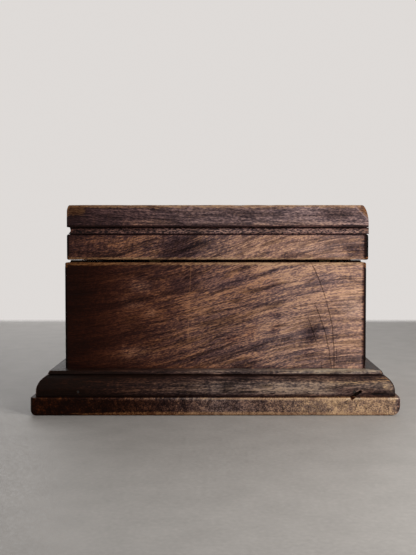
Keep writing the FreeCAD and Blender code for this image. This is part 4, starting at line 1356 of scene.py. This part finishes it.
@made_once
def floor_material(name, stage):
    """Plain pale floor with a faint grain, which fades out at its far edge."""
    material, tree, shader = new_material(name)
    place = tree.node("TexCoord").outputs["Object"]
    fine = tree.drawn_noise(place, 520.0, 520.0)
    broad = tree.drawn_noise(place, 60.0, 60.0, 3.0)
    level = tree.times_plus(broad, 0.4, tree.times(fine, 0.6))
    fade_start = stage.floor_back - stage.floor_fade
    tree.feed(shader, {
        "Base Color": tree.ramp(level, (0.33, shaded(stage.floor, 0.88)), (0.67, shaded(stage.floor, 1.12))),
        "Roughness": tree.fit(fine, 0.3, 0.7, 0.5, 0.7),
        "Alpha": tree.fit(tree.axes(place)["Y"], stage.floor_back, fade_start),
        "Specular IOR Level": 0.3,
    })
    return material


def add_floor(stage):
    reach = stage.floor_reach
    back = stage.floor_back
    corners = [(-reach, -reach, 0), (reach, -reach, 0), (reach, back, 0), (-reach, back, 0)]
    data = bpy.data.meshes.new("floor")
    data.from_pydata(corners, [], [(0, 1, 2, 3)])
    data.materials.append(floor_material("plain_floor", stage))
    floor = bpy.data.objects.new("floor", data)
    bpy.context.scene.collection.objects.link(floor)


def add_world(stage):
    """A plain pale background, and a dimmer even light from all round."""
    world = bpy.data.worlds.new("plain_studio")
    world.use_nodes = True
    tree = Tree(world.node_tree)
    path = tree.node("LightPath").outputs
    seen = tree.larger(path["Is Camera Ray"], path["Is Glossy Ray"])
    seen = tree.larger(seen, path["Is Transmission Ray"])
    shown = tree.node("Background", {"Color": stage.background, "Strength": 1.0}).outputs[0]
    light = tree.node("Background", {"Color": stage.background, "Strength": stage.fill}).outputs[0]
    surface = tree.node("MixShader", {0: seen, 1: light, 2: shown}).outputs[0]
    tree.node("OutputWorld", {"Surface": surface})
    bpy.context.scene.world = world


def add_lamp(name, place, size, power, colour):
    """A square soft lamp that points at the middle of the box and isn't seen itself."""
    data = bpy.data.lights.new(name, "AREA")
    data.shape = "SQUARE"
    data.size = size
    data.energy = power
    data.color = colour[:3]
    target = (CAD_BOX[0] + CAD_BOX[1]) / 2
    lamp = bpy.data.objects.new(name, data)
    lamp.location = place
    lamp.visible_camera = False
    lamp.rotation_mode = "QUATERNION"
    lamp.rotation_quaternion = (target - Vector(place)).to_track_quat("-Z", "Y")
    bpy.context.scene.collection.objects.link(lamp)


def add_camera(stage):
    data = bpy.data.cameras.new("eye")
    data.sensor_width = SENSOR_LONG_SIDE
    data.lens = stage.eye_lens
    data.shift_x, data.shift_y = (shift / PICTURE_LONG_SIDE for shift in stage.eye_shift)
    data.clip_start = 0.01
    data.clip_end = 20.0
    camera = bpy.data.objects.new("eye", data)
    camera.location = stage.eye
    camera.rotation_euler = (math.radians(90) - stage.eye_dip, 0, 0)
    bpy.context.scene.collection.objects.link(camera)
    bpy.context.scene.camera = camera


class PUZZLEBOX_OT_stage(bpy.types.Operator):
    """Adds the plain pale floor, the background, the soft lamps and the camera"""

    bl_idname = "puzzlebox.stage"
    bl_label = "Stage"

    def execute(self, context):
        stage = context.scene.puzzle_box_stage
        add_floor(stage)
        add_world(stage)
        add_lamp("key_lamp", stage.key_place, stage.key_size, stage.key_power, stage.key_colour)
        add_lamp("back_lamp", stage.back_place, stage.back_size, stage.back_power, stage.back_colour)
        add_camera(stage)
        context.scene.view_settings.view_transform = "Standard"
        return {"FINISHED"}


# Add-on

OPERATORS = (
    PUZZLEBOX_OT_base_board,
    PUZZLEBOX_OT_plinth_mouldings,
    PUZZLEBOX_OT_walls,
    PUZZLEBOX_OT_lid_top,
    PUZZLEBOX_OT_lid_rails,
    PUZZLEBOX_OT_cove_strips,
    PUZZLEBOX_OT_inner_boards,
    PUZZLEBOX_OT_brass_fittings,
    PUZZLEBOX_OT_steel_fixings,
    PUZZLEBOX_OT_rim_pads,
    PUZZLEBOX_OT_stage,
)


class PUZZLEBOX_PT_panel(bpy.types.Panel):
    """Lists the steps that dress the puzzle box"""

    bl_idname = "PUZZLEBOX_PT_panel"
    bl_label = "Puzzle Box"
    bl_space_type = "VIEW_3D"
    bl_region_type = "UI"
    bl_category = "Puzzle Box"

    def draw(self, context):
        for operator in OPERATORS:
            self.layout.operator(operator.bl_idname)


SETTINGS = {
    "puzzle_box_wood": PuzzleBoxWood,
    "puzzle_box_fittings": PuzzleBoxFittings,
    "puzzle_box_stage": PuzzleBoxStage,
}
CLASSES = (*SETTINGS.values(), *OPERATORS, PUZZLEBOX_PT_panel)


def register():
    for cls in CLASSES:
        bpy.utils.register_class(cls)
    for name, group in SETTINGS.items():
        setattr(bpy.types.Scene, name, bpy.props.PointerProperty(type=group))


def unregister():
    for name in SETTINGS:
        delattr(bpy.types.Scene, name)
    for cls in reversed(CLASSES):
        bpy.utils.unregister_class(cls)


def main():
    register()
    bpy.ops.puzzlebox.base_board()
    bpy.ops.puzzlebox.plinth_mouldings()
    bpy.ops.puzzlebox.walls()
    bpy.ops.puzzlebox.lid_top()
    bpy.ops.puzzlebox.lid_rails()
    bpy.ops.puzzlebox.cove_strips()
    bpy.ops.puzzlebox.inner_boards()
    bpy.ops.puzzlebox.brass_fittings()
    bpy.ops.puzzlebox.steel_fixings()
    bpy.ops.puzzlebox.rim_pads()
    bpy.ops.puzzlebox.stage()


if __name__ == "__main__":
    main()
